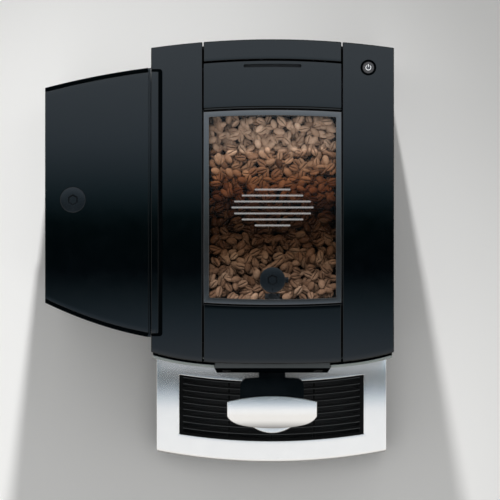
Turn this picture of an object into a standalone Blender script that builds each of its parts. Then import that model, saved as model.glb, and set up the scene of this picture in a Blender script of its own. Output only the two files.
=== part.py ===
"""A countertop bean to cup coffee machine, one object for each piece, in metres with +Z up.

The origin lies on the worktop under the middle of the machine. The user stands at -Y.
"""

import math

import bmesh
import bpy
from mathutils import Matrix, Vector

# Room between pieces, and how far a cutter runs past what it cuts
GAP = 0.0003
GROOVE = 0.0013
OVERRUN = 0.0050

# Roundness
ROUND_SIDES = 24
SMALL_SIDES = 16
SHARP_ANGLE = math.radians(35)

# Overall size
BODY_WIDTH = 0.2600
TANK_WIDTH = 0.1134
TOP_DEPTH = 0.3465
TRAY_REACH = 0.1175
HEIGHT = 0.4700

LEFT = -(BODY_WIDTH + TANK_WIDTH) / 2
BODY_LEFT = LEFT + TANK_WIDTH
BODY_RIGHT = BODY_LEFT + BODY_WIDTH
CENTRE = (BODY_LEFT + BODY_RIGHT) / 2
BACK = (TOP_DEPTH + TRAY_REACH) / 2
TOP_FRONT = BACK - TOP_DEPTH
TRAY_FRONT = TOP_FRONT - TRAY_REACH
TOP_MIDDLE = (BACK + TOP_FRONT) / 2

# Top cover: its curved edges, its low crown and its five fixed and hinged lengths
CROWN_RISE = 0.0030
BACK_SAGITTA = 0.0092
FRONT_SAGITTA = 0.0112
TOP_SKIRT = 0.0190
TOP_WALL = 0.0040
CENTRE_WIDTH = 0.1475
REAR_PIECE_DEPTH = 0.0223
REAR_GROOVE = 0.0021
FLAP_DEPTH = 0.0466
HINGE_RADIUS = 0.0012
FRONT_PIECE_DEPTH = 0.0622
LID_SAGITTA = 0.0023

TOP_BASE = HEIGHT - CROWN_RISE - TOP_SKIRT
CENTRE_LEFT = CENTRE - CENTRE_WIDTH / 2
CENTRE_RIGHT = CENTRE + CENTRE_WIDTH / 2
FLAP_BACK = BACK - REAR_PIECE_DEPTH - REAR_GROOVE
FLAP_FRONT = FLAP_BACK - FLAP_DEPTH
HINGE_Y = FLAP_FRONT - GAP - HINGE_RADIUS
HINGE_Z = HEIGHT - HINGE_RADIUS
LID_BACK = HINGE_Y - HINGE_RADIUS - GAP
LID_FRONT = TOP_FRONT + FRONT_PIECE_DEPTH

# Powder flap and funnel
FLAP_THICKNESS = 0.0085
SLOT_WIDTH = 0.0620
SLOT_DEPTH = 0.0036
SLOT_FROM_EDGE = 0.0036
FUNNEL_PLATE = 0.0030
FUNNEL_WALL = 0.0020
FUNNEL_WIDTH = 0.0720
FUNNEL_DEPTH = 0.0370
FUNNEL_COLLAR = 0.0150
FUNNEL_KNEE_WIDTH = 0.0300
FUNNEL_KNEE_DEPTH = 0.0160
FUNNEL_KNEE_DROP = 0.0520
FUNNEL_KNEE_SHIFT = 0.0165
CHUTE_WIDTH = 0.0200
CHUTE_DEPTH = 0.0120

# Bean lid, window and lock
LID_BORDER = 0.0058
LID_LEDGE = 0.0022
SEAL_HEIGHT = 0.0037
WINDOW_THICKNESS = 0.0032
WINDOW_INSET = 0.0010
LOCK_RADIUS = 0.0138
LOCK_HEAD = 0.0018
LOCK_SINK = 0.0021
LOCK_KEY_RADIUS = 0.0060
LOCK_KEY_DEPTH = 0.0011
LOCK_SHAFT_RADIUS = 0.0045
CAM_WIDTH = 0.0060
CAM_HEIGHT = 0.0034
CATCH_WIDTH = 0.0160
CATCH_HEIGHT = 0.0022
CATCH_REACH = 0.0065
BEAN_LOCK_FROM_FRONT = 0.0266
BEAN_CAM_REACH = 0.0172

# Bean hopper
HOPPER_WALL = 0.0025
HOPPER_WIDTH = 0.1410
HOPPER_FROM_BACK = 0.0060
HOPPER_FROM_FRONT = 0.0033
HOPPER_FLANGE = 0.0045
HOPPER_FLANGE_HEIGHT = 0.0030
HOPPER_STRAIGHT = 0.0377
THROAT_RADIUS = 0.0200
HOPPER_DEPTH = 0.1167
BEAN_DROP = 0.0097

# Grinder
GRINDER_FROM_BACK = 0.2120
GRINDER_Y = BACK - GRINDER_FROM_BACK
GRINDER_HEIGHT = 0.0754
GRINDER_RADIUS = 0.0420
GRINDER_WALL = 0.0035
GRINDER_FLOOR = 0.0050
BURR_RADIUS = 0.0300
BURR_DISC_HEIGHT = 0.0100
BURR_CONE_HEIGHT = 0.0260
BURR_TIP_RADIUS = 0.0100
BURR_CLEARANCE = 0.0012
SHAFT_RADIUS = 0.0050
SHAFT_CLEARANCE = 0.0010
MOTOR_RADIUS = 0.0300
MOTOR_SHARE = 0.518
OUTLET_WIDTH = 0.0180
OUTLET_HEIGHT = 0.0120
OUTLET_LENGTH = 0.0200
OUTLET_WALL = 0.0020

# Casing
FOOT_HEIGHT = 0.0080
FOOT_RADIUS = 0.0120
FOOT_INSET = 0.0260
BASE_THICKNESS = 0.0050
BASE_INSET = 0.0040
SIDE_INSET = 0.0015
SIDE_THICKNESS = 0.0025
REAR_INSET = 0.0040
REAR_THICKNESS = 0.0030
PANEL_PROUD = 0.0005
PANEL_THICKNESS = 0.0030
TRIM_PROUD = 0.0022
TRIM_THICKNESS = 0.0042
TRIM_HEIGHT = 0.0120
VENT_LENGTH = 0.0500
VENT_HEIGHT = 0.0030
VENT_PITCH = 0.0090
VENT_COUNT = 8
VENT_SPACING = 0.0900
VENT_DROP = 0.0600

BASE_TOP = FOOT_HEIGHT + GAP + BASE_THICKNESS
FOOT_LEFT = BODY_LEFT + FOOT_INSET
WALL_BASE = BASE_TOP + GAP
WALL_TOP = TOP_BASE - GAP
THROAT_HEIGHT = WALL_TOP - HOPPER_DEPTH
HOPPER_BACK = LID_BACK - HOPPER_FROM_BACK
HOPPER_FRONT = LID_FRONT + HOPPER_FROM_FRONT

# Chassis
CHEEK_THICKNESS = 0.0025
CHEEK_FROM_FRONT = 0.0645
CHEEK_FRONT = TOP_FRONT + CHEEK_FROM_FRONT
CHEEK_FROM_BACK = 0.0220
CHEEK_BACK = BACK - CHEEK_FROM_BACK
DECK_THICKNESS = 0.0030
LOWER_DECK = 0.1040
UPPER_DECK = THROAT_HEIGHT - GRINDER_HEIGHT - 2 * GAP - DECK_THICKNESS
UPPER_DECK_REACH = 0.0460
UPPER_DECK_BACK = GRINDER_Y + UPPER_DECK_REACH

# Brew unit
BREW_FROM_BACK = 0.1220
BREW_Y = BACK - BREW_FROM_BACK
BREW_WIDTH = 0.0760
BREW_DEPTH = 0.0760
BREW_HEIGHT = UPPER_DECK + GRINDER_FLOOR + OUTLET_WALL - LOWER_DECK
BREW_PLATE = 0.0060
CHAMBER_RADIUS = 0.0270
CHAMBER_BORE = 0.0230
CHAMBER_SHARE = 0.31
PUCK_HOLE = 0.0180
PISTON_HEIGHT = 0.0120
PISTON_ROD_RADIUS = 0.0080
PISTON_ROD_SHARE = 0.226
PISTON_CLEARANCE = 0.0005
SCREW_RADIUS = 0.0040
SCREW_ASIDE = 0.0260
SCREW_FORWARD = 0.0220
ARM_WIDTH = 0.0140
ARM_HEIGHT = 0.0080
BREW_MOTOR_RADIUS = 0.0160
BREW_MOTOR_HEIGHT = 0.0350

# Heater, pump, board and mains inlet
HEATER_WIDTH = 0.0500
HEATER_DEPTH = 0.0460
HEATER_HEIGHT = 0.0700
HEATER_FROM_CHEEK = 0.0040
HEATER_FROM_BACK = 0.0080
HEATER_PIPE_RADIUS = 0.0040
HEATER_PIPE_LENGTH = 0.0200
PUMP_RADIUS = 0.0230
PUMP_LENGTH = 0.0950
PUMP_HEIGHT = 0.0500
PUMP_FOOT_WIDTH = 0.0300
BOARD_THICKNESS = 0.0016
BOARD_STANDOFF = 0.0050
BOARD_STANDOFF_RADIUS = 0.0025
BOARD_DEPTH = 0.1200
BOARD_HEIGHT = 0.1000
BOARD_BASE = 0.1400
BOARD_PART_HEIGHT = 0.0120
BOARD_MARGIN = 0.0060
INLET_WIDTH = 0.0270
INLET_HEIGHT = 0.0200
INLET_DEPTH = 0.0200
INLET_WALL = 0.0020
INLET_FLANGE = 0.0050
INLET_FLANGE_THICKNESS = 0.0020
INLET_Z = 0.0500
INLET_PIN_LENGTH = 0.0140
INLET_PIN_WIDTH = 0.0020
INLET_PIN_HEIGHT = 0.0040
INLET_PIN_SPACING = 0.0070

# Display
DISPLAY_WIDTH = 0.1244
DISPLAY_FOOT_WIDTH = 0.1200
DISPLAY_DROP = 0.0080
DISPLAY_TOP = HEIGHT - DISPLAY_DROP
DISPLAY_HEIGHT = 0.0960
DISPLAY_LEDGE = 0.0059
DISPLAY_FOOT_REACH = 0.0121
SCREEN_WIDTH = 0.0700
SCREEN_HEIGHT = 0.0480
SCREEN_THICKNESS = 0.0020
SCREEN_DROP = 0.0470
SCREEN_Z = DISPLAY_TOP - SCREEN_DROP
BUTTON_RADIUS = 0.0050
BUTTON_LENGTH = 0.0042
BUTTON_PROUD = 0.0008
BUTTON_BORE = 0.0046
BUTTON_SPACING = 0.0190
BUTTON_OFFSET = 0.0490
BUTTON_ROWS = 2

# Power button
POWER_SHARE = 0.513
POWER_FROM_BACK = 0.0303
POWER_X = CENTRE_RIGHT + POWER_SHARE * (BODY_RIGHT - CENTRE_RIGHT)
POWER_Y = BACK - POWER_FROM_BACK
POWER_RADIUS = 0.0078
POWER_CAP_RADIUS = 0.0064
POWER_RING_DEPTH = 0.0120
POWER_RING_FLOOR = 0.0020
POWER_CAP_LENGTH = 0.0060
POWER_CAP_SINK = 0.0012

# Spout
SPOUT_REST = 0.2620
SPOUT_TRAVEL = 0.0700
SPOUT_BLOCK_HEIGHT = 0.0300
SPOUT_BLOCK_WIDTH = 0.0696
SPOUT_BLOCK_BACK = 0.0185
SPOUT_BLOCK_FRONT = 0.0640
SPOUT_SHOULDER = 0.0095
SPOUT_NECK_WIDTH = 0.0292
SPOUT_NECK_HEIGHT = 0.0240
SPOUT_COVER_WIDTH = 0.0980
SPOUT_COVER_BACK = 0.0388
SPOUT_COVER_FRONT = 0.0741
SPOUT_COVER_HEIGHT = 0.0060
SPOUT_COVER_RISE = 0.0070
SPOUT_COVER_BACK_SAG = 0.0060
SPOUT_COVER_FRONT_SAG = 0.0070
SPOUT_COVER_CORNER = 0.0060
SPOUT_COVER_CORNER_POWER = 10
LIP_WIDTH = 0.0440
LIP_REACH = 0.0793
LIP_SAG = 0.0070
LIP_HEIGHT = 0.0180
NOZZLE_RADIUS = 0.0060
NOZZLE_BORE = 0.0030
NOZZLE_LENGTH = 0.0220
NOZZLE_SPACING = 0.0280
NOZZLE_PLATE = 0.0040
NOZZLE_PLATE_WIDTH = 0.0500
NOZZLE_PLATE_DEPTH = 0.0200
NOZZLE_FROM_FRONT = 0.0200
RAIL_RADIUS = 0.0025
RAIL_OFFSET = 0.0220
RAIL_SETBACK = 0.0110
RAIL_CLEARANCE = 0.0003
CARRIAGE_WIDTH = 0.0600
CARRIAGE_DEPTH = 0.0090
GUIDE_WIDTH = 0.0680
GUIDE_PLATE = 0.0030
GUIDE_FLANGE = 0.0040
GUIDE_CLEARANCE = 0.0040
GUIDE_MARGIN = 0.0180
SLOT_CLEARANCE = 0.0010

# Drip tray
TRAY_SIDE_INSET = 0.0012
TRAY_WIDTH = BODY_WIDTH - 2 * TRAY_SIDE_INSET
TRAY_TOP = 0.0850
TRAY_CROWN = 0.0015
TRAY_SAGITTA = 0.0124
TRAY_SKIRT = 0.0230
TRAY_CLEARANCE = 0.0010
FRAME_WALL = 0.0025
FRAME_PLATE = 0.0030
GRILLE_WIDTH = 0.2066
GRILLE_DEPTH = 0.0667
GRILLE_FRONT_RAIL = 0.0240
GRILLE_SAGITTA = 0.0080
GRILLE_THICKNESS = 0.0040
GRILLE_RIM = 0.0026
GRILLE_BAR = 0.0030
GRILLE_BARS = 8
GRILLE_SIDE_RIM = 0.0043
GRILLE_CROSS_BAR = 0.0020
GRILLE_CROSS_SPACING = 0.0475
GRILLE_LEDGE = 0.0024
BASIN_INSET = 0.0010
BASIN_WALL = 0.0030
BASIN_DECK = 0.0062
TONGUE_WIDTH = 0.1920
TONGUE_FROM_BACK = 0.0820
TONGUE_BACK = BACK - TONGUE_FROM_BACK
TONGUE_HEIGHT = 0.0640
CAVITY_FROM_FRONT = 0.0165
TONGUE_CAVITY_FRONT = TOP_FRONT + CAVITY_FROM_FRONT
CAVITY_OPEN_DEPTH = 0.0880
GROUNDS_FRONT = TONGUE_CAVITY_FRONT + CAVITY_OPEN_DEPTH
GROUNDS_WALL = 0.0020
GROUNDS_SIDE_GAP = 0.0010

# Water tank
DOCK_TOP = 0.2000
DOCK_INSET = 0.0015
DOCK_WALL = 0.0030
TANK_BACK_STEP_OUTER = 0.0525
TANK_BACK_OUTER = BACK - TANK_BACK_STEP_OUTER
TANK_BACK_STEP_INNER = 0.0307
TANK_BACK_INNER = BACK - TANK_BACK_STEP_INNER
TANK_FRONT_STEP_OUTER = 0.0648
TANK_FRONT_OUTER = TOP_FRONT + TANK_FRONT_STEP_OUTER
TANK_FRONT_STEP_INNER = 0.0275
TANK_FRONT_INNER = TOP_FRONT + TANK_FRONT_STEP_INNER
TANK_BACK_SAGITTA = 0.0020
TANK_FRONT_SAGITTA = 0.0043
TANK_WALL = 0.0025
TANK_FLOOR = 0.0030
TANK_RIM = 0.0022
TANK_LEDGE = 0.0020
TANK_GROOVE = 0.0018
TANK_LID_THICKNESS = 0.0070
TANK_LID_BASE = HEIGHT - CROWN_RISE - TANK_LID_THICKNESS
PIN_RADIUS = 0.0009
STRIP_WIDTH = 0.0092
STRIP_FROM_TANK = 0.0045
STRIP_FRONT = TANK_FRONT_INNER + STRIP_FROM_TANK
STRIP_LENGTH = TANK_BACK_INNER - STRIP_FROM_TANK - STRIP_FRONT
STRIP_GROOVE = 0.0025
STRIP_CORNER = 0.0022
LOCK_FROM_SIDE = 0.0297
LOCK_FROM_BACK = 0.1719
TANK_LOCK_X = LEFT + LOCK_FROM_SIDE
TANK_LOCK_Y = BACK - LOCK_FROM_BACK
TANK_CAM_REACH = 0.0255
TANK_CAM_DROP = 0.0080
SPIGOT_RADIUS = 0.0040
SPIGOT_HEIGHT = 0.0020
VALVE_STEM_RADIUS = 0.0062
VALVE_CAP_RADIUS = 0.0100
VALVE_CAP_HEIGHT = 0.0040
VALVE_FROM_SIDE = 0.0567
VALVE_FROM_BACK = 0.1820
VALVE_X = LEFT + VALVE_FROM_SIDE
VALVE_Y = BACK - VALVE_FROM_BACK

# Colour, roughness and metallic value of each finish
FINISHES = {
    "slate_gloss": ((0.022, 0.027, 0.032), 0.25, 0.0),
    "slate_matte": ((0.018, 0.019, 0.021), 0.55, 0.0),
    "black_gloss": ((0.005, 0.006, 0.007), 0.12, 0.0),
    "silver": ((0.72, 0.72, 0.73), 0.22, 1.0),
    "grey_frame": ((0.13, 0.145, 0.155), 0.35, 0.0),
    "smoked_clear": ((0.45, 0.45, 0.45), 0.05, 0.0),
    "clear": ((0.75, 0.80, 0.84), 0.05, 0.0),
    "rubber": ((0.015, 0.015, 0.015), 0.8, 0.0),
    "sheet_steel": ((0.50, 0.50, 0.51), 0.4, 1.0),
    "steel": ((0.60, 0.60, 0.60), 0.25, 1.0),
    "cast_alloy": ((0.45, 0.45, 0.46), 0.5, 1.0),
    "white_plastic": ((0.62, 0.62, 0.60), 0.5, 0.0),
    "board_green": ((0.02, 0.12, 0.05), 0.5, 0.0),
    "roasted_bean": ((0.12, 0.045, 0.018), 0.45, 0.0),
}


# Edges and surfaces that several pieces follow


def across(x, width):
    """How far x lies from the middle of the body, as a share of half a width."""
    return (x - CENTRE) / (width / 2)


def back_edge(x, middle):
    """The curve of the machine's back, through a point on the middle line."""
    return middle - BACK_SAGITTA * across(x, BODY_WIDTH) ** 2


def front_edge(x, middle):
    """The curve of the machine's front, through a point on the middle line."""
    return middle + FRONT_SAGITTA * across(x, BODY_WIDTH) ** 2


def lid_back_edge(x):
    return LID_BACK - LID_SAGITTA * across(x, CENTRE_WIDTH) ** 2


def lid_front_edge(x):
    return LID_FRONT + LID_SAGITTA * across(x, CENTRE_WIDTH) ** 2


def tray_front_edge(x):
    return TRAY_FRONT + TRAY_SAGITTA * across(x, TRAY_WIDTH) ** 2


def tray_back_edge(x):
    return front_edge(x, TOP_FRONT - PANEL_PROUD - GAP)


def grille_edge(x, middle):
    return middle + GRILLE_SAGITTA * across(x, GRILLE_WIDTH) ** 2


def tank_bulge(x):
    share = (x - LEFT) / TANK_WIDTH
    return share, 4 * share * (1 - share)


def tank_back_edge(x):
    share, bulge = tank_bulge(x)
    return TANK_BACK_OUTER + (TANK_BACK_INNER - TANK_BACK_OUTER) * share + TANK_BACK_SAGITTA * bulge


def tank_front_edge(x):
    share, bulge = tank_bulge(x)
    return TANK_FRONT_OUTER + (TANK_FRONT_INNER - TANK_FRONT_OUTER) * share - TANK_FRONT_SAGITTA * bulge


def crown(y):
    """The height of the top cover, highest halfway between its front and back."""
    return HEIGHT - CROWN_RISE * ((y - TOP_MIDDLE) / (TOP_DEPTH / 2)) ** 2


def tray_crown(y):
    middle = (TRAY_FRONT + TOP_FRONT) / 2
    return TRAY_TOP - TRAY_CROWN * ((y - middle) / (TRAY_REACH / 2)) ** 2


def shifted(edge, distance):
    """The same curve moved along Y."""
    return lambda value: edge(value) + distance


def level(height):
    """A flat surface or a straight edge."""
    return lambda value: height


# Shapes, each a new bmesh


def box(x_span, y_span, z_span):
    shape = bmesh.new()
    bmesh.ops.create_cube(shape, size=1)
    spans = (x_span, y_span, z_span)
    size = Vector([high - low for low, high in spans])
    middle = Vector([(high + low) / 2 for low, high in spans])
    bmesh.ops.scale(shape, vec=size, verts=shape.verts)
    bmesh.ops.translate(shape, vec=middle, verts=shape.verts)
    return shape


def around(middle, size):
    """The span of a size centred on a place."""
    return (middle - size / 2, middle + size / 2)


def rod(start, end, radius, end_radius=None, sides=ROUND_SIDES):
    """A round bar or a cone between two points."""
    start = Vector(start)
    end = Vector(end)
    shape = bmesh.new()
    bmesh.ops.create_cone(
        shape,
        cap_ends=True,
        segments=sides,
        radius1=radius,
        radius2=radius if end_radius is None else end_radius,
        depth=(end - start).length,
    )
    turn = (end - start).to_track_quat("Z", "Y").to_matrix().to_4x4()
    bmesh.ops.transform(shape, matrix=Matrix.Translation((start + end) / 2) @ turn, verts=shape.verts)
    return shape


def loft(rings):
    """A closed solid through outlines with as many points each, the first and the last one capped."""
    shape = bmesh.new()
    rows = [[shape.verts.new(point) for point in ring] for ring in rings]
    for lower, upper in zip(rows, rows[1:]):
        for index in range(len(lower)):
            following = (index + 1) % len(lower)
            shape.faces.new((lower[index], lower[following], upper[following], upper[index]))
    shape.faces.new(list(reversed(rows[0])))
    shape.faces.new(rows[-1])
    return shape


def prism(outline, z_span):
    return loft([[(x, y, z) for x, y in outline] for z in z_span])


def rectangle(x_span, y_span, z):
    """Four corners at one height."""
    left, right = x_span
    front, back = y_span
    return [(left, front, z), (right, front, z), (right, back, z), (left, back, z)]


def edge_points(x_span, edge, count):
    """Points along a curve from left to right."""
    left, right = x_span
    steps = [left + (right - left) * step / count for step in range(count + 1)]
    return [(x, edge(x)) for x in steps]


def slab(x_span, back, front, bottom, top, columns=8, rows=1):
    """A plate between two curved edges, flat below and following the given surface above."""
    shape = bmesh.new()
    grid = []
    for column in range(columns + 1):
        x = x_span[0] + (x_span[1] - x_span[0]) * column / columns
        line = []
        for row in range(rows + 1):
            y = front(x) + (back(x) - front(x)) * row / rows
            line.append(shape.verts.new((x, y, top(y))))
        grid.append(line)
    for left, right in zip(grid, grid[1:]):
        for row in range(rows):
            shape.faces.new((left[row], right[row], right[row + 1], left[row + 1]))
    rim = [line[0] for line in grid]
    rim += grid[-1][1:]
    rim += [line[-1] for line in reversed(grid[:-1])]
    rim += list(reversed(grid[0][1:-1]))
    floor = [shape.verts.new((vert.co.x, vert.co.y, bottom)) for vert in rim]
    for index in range(len(rim)):
        following = (index + 1) % len(rim)
        shape.faces.new((floor[index], floor[following], rim[following], rim[index]))
    shape.faces.new(list(reversed(floor)))
    return shape


def turned(profile, centre, ring=False, sides=ROUND_SIDES):
    """A solid of revolution about a vertical axis. A ring's profile closes on itself."""
    shape = bmesh.new()
    rings = []
    for radius, height in profile:
        count = sides if radius > 0 else 1
        angles = [2 * math.pi * index / sides for index in range(count)]
        points = [
            (centre[0] + radius * math.cos(angle), centre[1] + radius * math.sin(angle), height)
            for angle in angles
        ]
        rings.append([shape.verts.new(point) for point in points])
    pairs = list(zip(rings, rings[1:]))
    if ring:
        pairs.append((rings[-1], rings[0]))
    for lower, upper in pairs:
        for index in range(sides):
            following = (index + 1) % sides
            corners = [
                lower[index % len(lower)],
                lower[following % len(lower)],
                upper[following % len(upper)],
                upper[index % len(upper)],
            ]
            shape.faces.new(list(dict.fromkeys(corners)))
    return shape


def lattice(x_lines, y_lines, solid, z_span):
    """A flat plate on a grid of straight columns and curved rows, solid in the chosen cells."""
    shape = bmesh.new()
    columns = len(x_lines) - 1
    rows = len(y_lines) - 1
    corners = {}

    def corner(column, row, side):
        key = (column, row, side)
        if key not in corners:
            x = x_lines[column]
            corners[key] = shape.verts.new((x, y_lines[row](x), z_span[side]))
        return corners[key]

    def filled(column, row):
        return 0 <= column < columns and 0 <= row < rows and solid(column, row)

    for column in range(columns):
        for row in range(rows):
            if not filled(column, row):
                continue
            ring = [(column, row), (column + 1, row), (column + 1, row + 1), (column, row + 1)]
            shape.faces.new([corner(i, j, 1) for i, j in ring])
            shape.faces.new([corner(i, j, 0) for i, j in reversed(ring)])
            beside = [(column, row - 1), (column + 1, row), (column, row + 1), (column - 1, row)]
            for index, neighbour in enumerate(beside):
                if filled(*neighbour):
                    continue
                first = ring[index]
                second = ring[(index + 1) % len(ring)]
                shape.faces.new((corner(*first, 0), corner(*second, 0), corner(*second, 1), corner(*first, 1)))
    return shape


def together(shapes):
    """Several shapes in one bmesh, still as separate bodies."""
    whole = bmesh.new()
    for shape in shapes:
        mesh = bpy.data.meshes.new("loose")
        shape.to_mesh(mesh)
        shape.free()
        whole.from_mesh(mesh)
        bpy.data.meshes.remove(mesh)
    return whole


# Objects


def finish_material(name, finish):
    colour, roughness, metallic = FINISHES[finish]
    material = bpy.data.materials.new(name)
    material.use_nodes = True
    shader = material.node_tree.nodes["Principled BSDF"]
    shader.inputs["Base Color"].default_value = (*colour, 1)
    shader.inputs["Roughness"].default_value = roughness
    shader.inputs["Metallic"].default_value = metallic
    return material


def place(name, shape, finish, origin=(0, 0, 0)):
    """Makes a shape a named object with its origin at the given point, such as one on its joint's axis."""
    bmesh.ops.translate(shape, vec=-Vector(origin), verts=shape.verts)
    bmesh.ops.recalc_face_normals(shape, faces=shape.faces)
    mesh = bpy.data.meshes.new(name)
    shape.to_mesh(mesh)
    shape.free()
    mesh.shade_smooth()
    mesh.set_sharp_from_angle(angle=SHARP_ANGLE)
    piece = bpy.data.objects.new(name, mesh)
    piece.location = origin
    bpy.context.scene.collection.objects.link(piece)
    mesh.materials.append(finish_material(name, finish))
    return piece


def combine(piece, shape, operation):
    """Joins a shape to a piece or cuts it out, with a Boolean that stays on the piece."""
    name = f"{piece.name}_helper_{len(piece.modifiers) + 1}"
    bmesh.ops.recalc_face_normals(shape, faces=shape.faces)
    mesh = bpy.data.meshes.new(name)
    shape.to_mesh(mesh)
    shape.free()
    helper = bpy.data.objects.new(name, mesh)
    helper.hide_render = True
    helper.hide_viewport = True
    helper.display_type = "WIRE"
    bpy.context.scene.collection.objects.link(helper)
    modifier = piece.modifiers.new(name, "BOOLEAN")
    modifier.operation = operation
    modifier.object = helper


def join(piece, shape):
    combine(piece, shape, "UNION")


def cut(piece, shape):
    combine(piece, shape, "DIFFERENCE")


# Casing


def base_plate():
    left = BODY_LEFT + BASE_INSET
    right = BODY_RIGHT - BASE_INSET
    outer = LEFT + BASE_INSET
    outline = edge_points((left, right), shifted(tray_front_edge, BASE_INSET), ROUND_SIDES // 2)
    back = edge_points((left, right), lambda x: back_edge(x, BACK - REAR_INSET), ROUND_SIDES // 2)
    outline += list(reversed(back))
    outline.append((left, tank_back_edge(left) - BASE_INSET))
    outline.append((outer, tank_back_edge(outer) - BASE_INSET))
    outline.append((outer, tank_front_edge(outer) + BASE_INSET))
    outline.append((left, tank_front_edge(left) + BASE_INSET))
    place("base_plate", prism(outline, (FOOT_HEIGHT + GAP, BASE_TOP)), "slate_matte")


def rubber_feet():
    for depth, y in (("front", TRAY_FRONT + FOOT_INSET), ("back", BACK - FOOT_INSET)):
        for side, x in (("left", FOOT_LEFT), ("right", BODY_RIGHT - FOOT_INSET)):
            place(f"foot_{depth}_{side}", rod((x, y, 0), (x, y, FOOT_HEIGHT), FOOT_RADIUS), "rubber")


def side_panels():
    for name, outer, inward in (("left", BODY_LEFT + SIDE_INSET, 1), ("right", BODY_RIGHT - SIDE_INSET, -1)):
        x_span = sorted((outer, outer + inward * SIDE_THICKNESS))
        front = max(front_edge(x, TOP_FRONT - PANEL_PROUD + PANEL_THICKNESS) for x in x_span) + GAP
        back = min(back_edge(x, BACK - REAR_INSET - REAR_THICKNESS) for x in x_span) - GAP
        place(f"side_panel_{name}", box(x_span, (front, back), (WALL_BASE, WALL_TOP)), "slate_gloss")


def rear_cover():
    x_span = (BODY_LEFT + SIDE_INSET, BODY_RIGHT - SIDE_INSET)
    cover = place(
        "rear_cover",
        slab(
            x_span,
            lambda x: back_edge(x, BACK - REAR_INSET),
            lambda x: back_edge(x, BACK - REAR_INSET - REAR_THICKNESS),
            WALL_BASE,
            level(WALL_TOP),
        ),
        "slate_matte",
    )
    vents = []
    y_span = (BACK - BACK_SAGITTA - REAR_INSET - REAR_THICKNESS - OVERRUN, BACK + OVERRUN)
    for side in (-1, 1):
        for row in range(VENT_COUNT):
            x = CENTRE + side * VENT_SPACING / 2
            z = HEIGHT - VENT_DROP - row * VENT_PITCH
            vents.append(box(around(x, VENT_LENGTH), y_span, around(z, VENT_HEIGHT)))
    vents.append(box(around(CENTRE, INLET_WIDTH + 2 * GAP), y_span, around(INLET_Z, INLET_HEIGHT + 2 * GAP)))
    cut(cover, together(vents))


def front_panel():
    x_span = (BODY_LEFT + SIDE_INSET, BODY_RIGHT - SIDE_INSET)
    outer = TOP_FRONT - PANEL_PROUD
    panel = place(
        "front_panel",
        slab(
            x_span,
            lambda x: front_edge(x, outer + PANEL_THICKNESS),
            lambda x: front_edge(x, outer),
            TRAY_TOP + TRAY_CLEARANCE,
            level(WALL_TOP - TRIM_HEIGHT - GAP),
            columns=12,
        ),
        "slate_gloss",
    )
    slot = box(
        around(CENTRE, SPOUT_NECK_WIDTH + 2 * SLOT_CLEARANCE),
        (outer - OVERRUN, outer + PANEL_THICKNESS + OVERRUN),
        (
            SPOUT_REST - SPOUT_TRAVEL - SLOT_CLEARANCE,
            SPOUT_REST + SPOUT_BLOCK_HEIGHT + SLOT_CLEARANCE,
        ),
    )
    cut(panel, slot)


def front_trim():
    """A silver band below the top cover, set back where the display stands in front of it."""
    half = BODY_WIDTH / 2 - SIDE_INSET
    outer = TOP_FRONT - TRIM_PROUD
    z_span = (WALL_TOP - TRIM_HEIGHT, WALL_TOP)
    trim = place(
        "front_trim",
        slab(
            (CENTRE - half, CENTRE + half),
            lambda x: front_edge(x, outer + TRIM_THICKNESS),
            lambda x: front_edge(x, outer),
            z_span[0],
            level(z_span[1]),
            columns=14,
        ),
        "silver",
    )
    cut(trim, slab(
        around(CENTRE, DISPLAY_WIDTH + 2 * GAP),
        lambda x: front_edge(x, TOP_FRONT - PANEL_PROUD),
        lambda x: front_edge(x, outer - OVERRUN),
        z_span[0] - OVERRUN,
        level(z_span[1] + OVERRUN),
    ))


# Top cover


def top_shell(name, x_span, back, front, columns, rows, hollow_left=0):
    """A crowned piece of the top cover, hollow below."""
    piece = place(name, slab(x_span, back, front, TOP_BASE, crown, columns, rows), "slate_gloss")
    hollow = slab(
        (x_span[0] + TOP_WALL + hollow_left, x_span[1] - TOP_WALL),
        shifted(back, -TOP_WALL),
        shifted(front, TOP_WALL),
        TOP_BASE - OVERRUN,
        lambda y: crown(y) - TOP_WALL,
        columns // 2,
        rows,
    )
    cut(piece, hollow)
    return piece


def strip_recess_right():
    return TANK_PIN_X + PIN_RADIUS + GAP + STRIP_WIDTH + STRIP_GROOVE


def top_strips():
    def back(x):
        return back_edge(x, BACK)

    def front(x):
        return front_edge(x, TOP_FRONT)

    recess_right = strip_recess_right()
    left_span = (BODY_LEFT, CENTRE_LEFT - GROOVE)
    left = top_shell("top_strip_left", left_span, back, front, 4, 8, recess_right - BODY_LEFT)
    recess = slab(
        (BODY_LEFT - OVERRUN, recess_right),
        level(STRIP_FRONT + STRIP_LENGTH + STRIP_GROOVE),
        level(STRIP_FRONT - STRIP_GROOVE),
        TANK_LID_BASE - GAP,
        level(HEIGHT + OVERRUN),
        1,
    )
    cut(left, recess)
    right = top_shell("top_strip_right", (CENTRE_RIGHT + GROOVE, BODY_RIGHT), back, front, 4, 8)
    bore = rod(
        (POWER_X, POWER_Y, TOP_BASE - OVERRUN),
        (POWER_X, POWER_Y, HEIGHT + OVERRUN),
        POWER_RADIUS + GAP,
    )
    cut(right, bore)


def top_fixed_pieces():
    x_span = (CENTRE_LEFT, CENTRE_RIGHT)
    top_shell(
        "top_rear_piece",
        x_span,
        lambda x: back_edge(x, BACK),
        lambda x: back_edge(x, BACK - REAR_PIECE_DEPTH),
        8,
        2,
    )
    top_shell(
        "top_front_piece",
        x_span,
        lambda x: lid_front_edge(x) - GROOVE,
        lambda x: front_edge(x, TOP_FRONT),
        8,
        4,
    )


def hinge_bar():
    bar = slab(
        (CENTRE_LEFT, CENTRE_RIGHT),
        level(FLAP_FRONT - GAP),
        lambda x: lid_back_edge(x) + GAP,
        TOP_BASE,
        level(HINGE_Z - HINGE_RADIUS - GAP),
    )
    place("hinge_bar", bar, "black_gloss")


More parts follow.
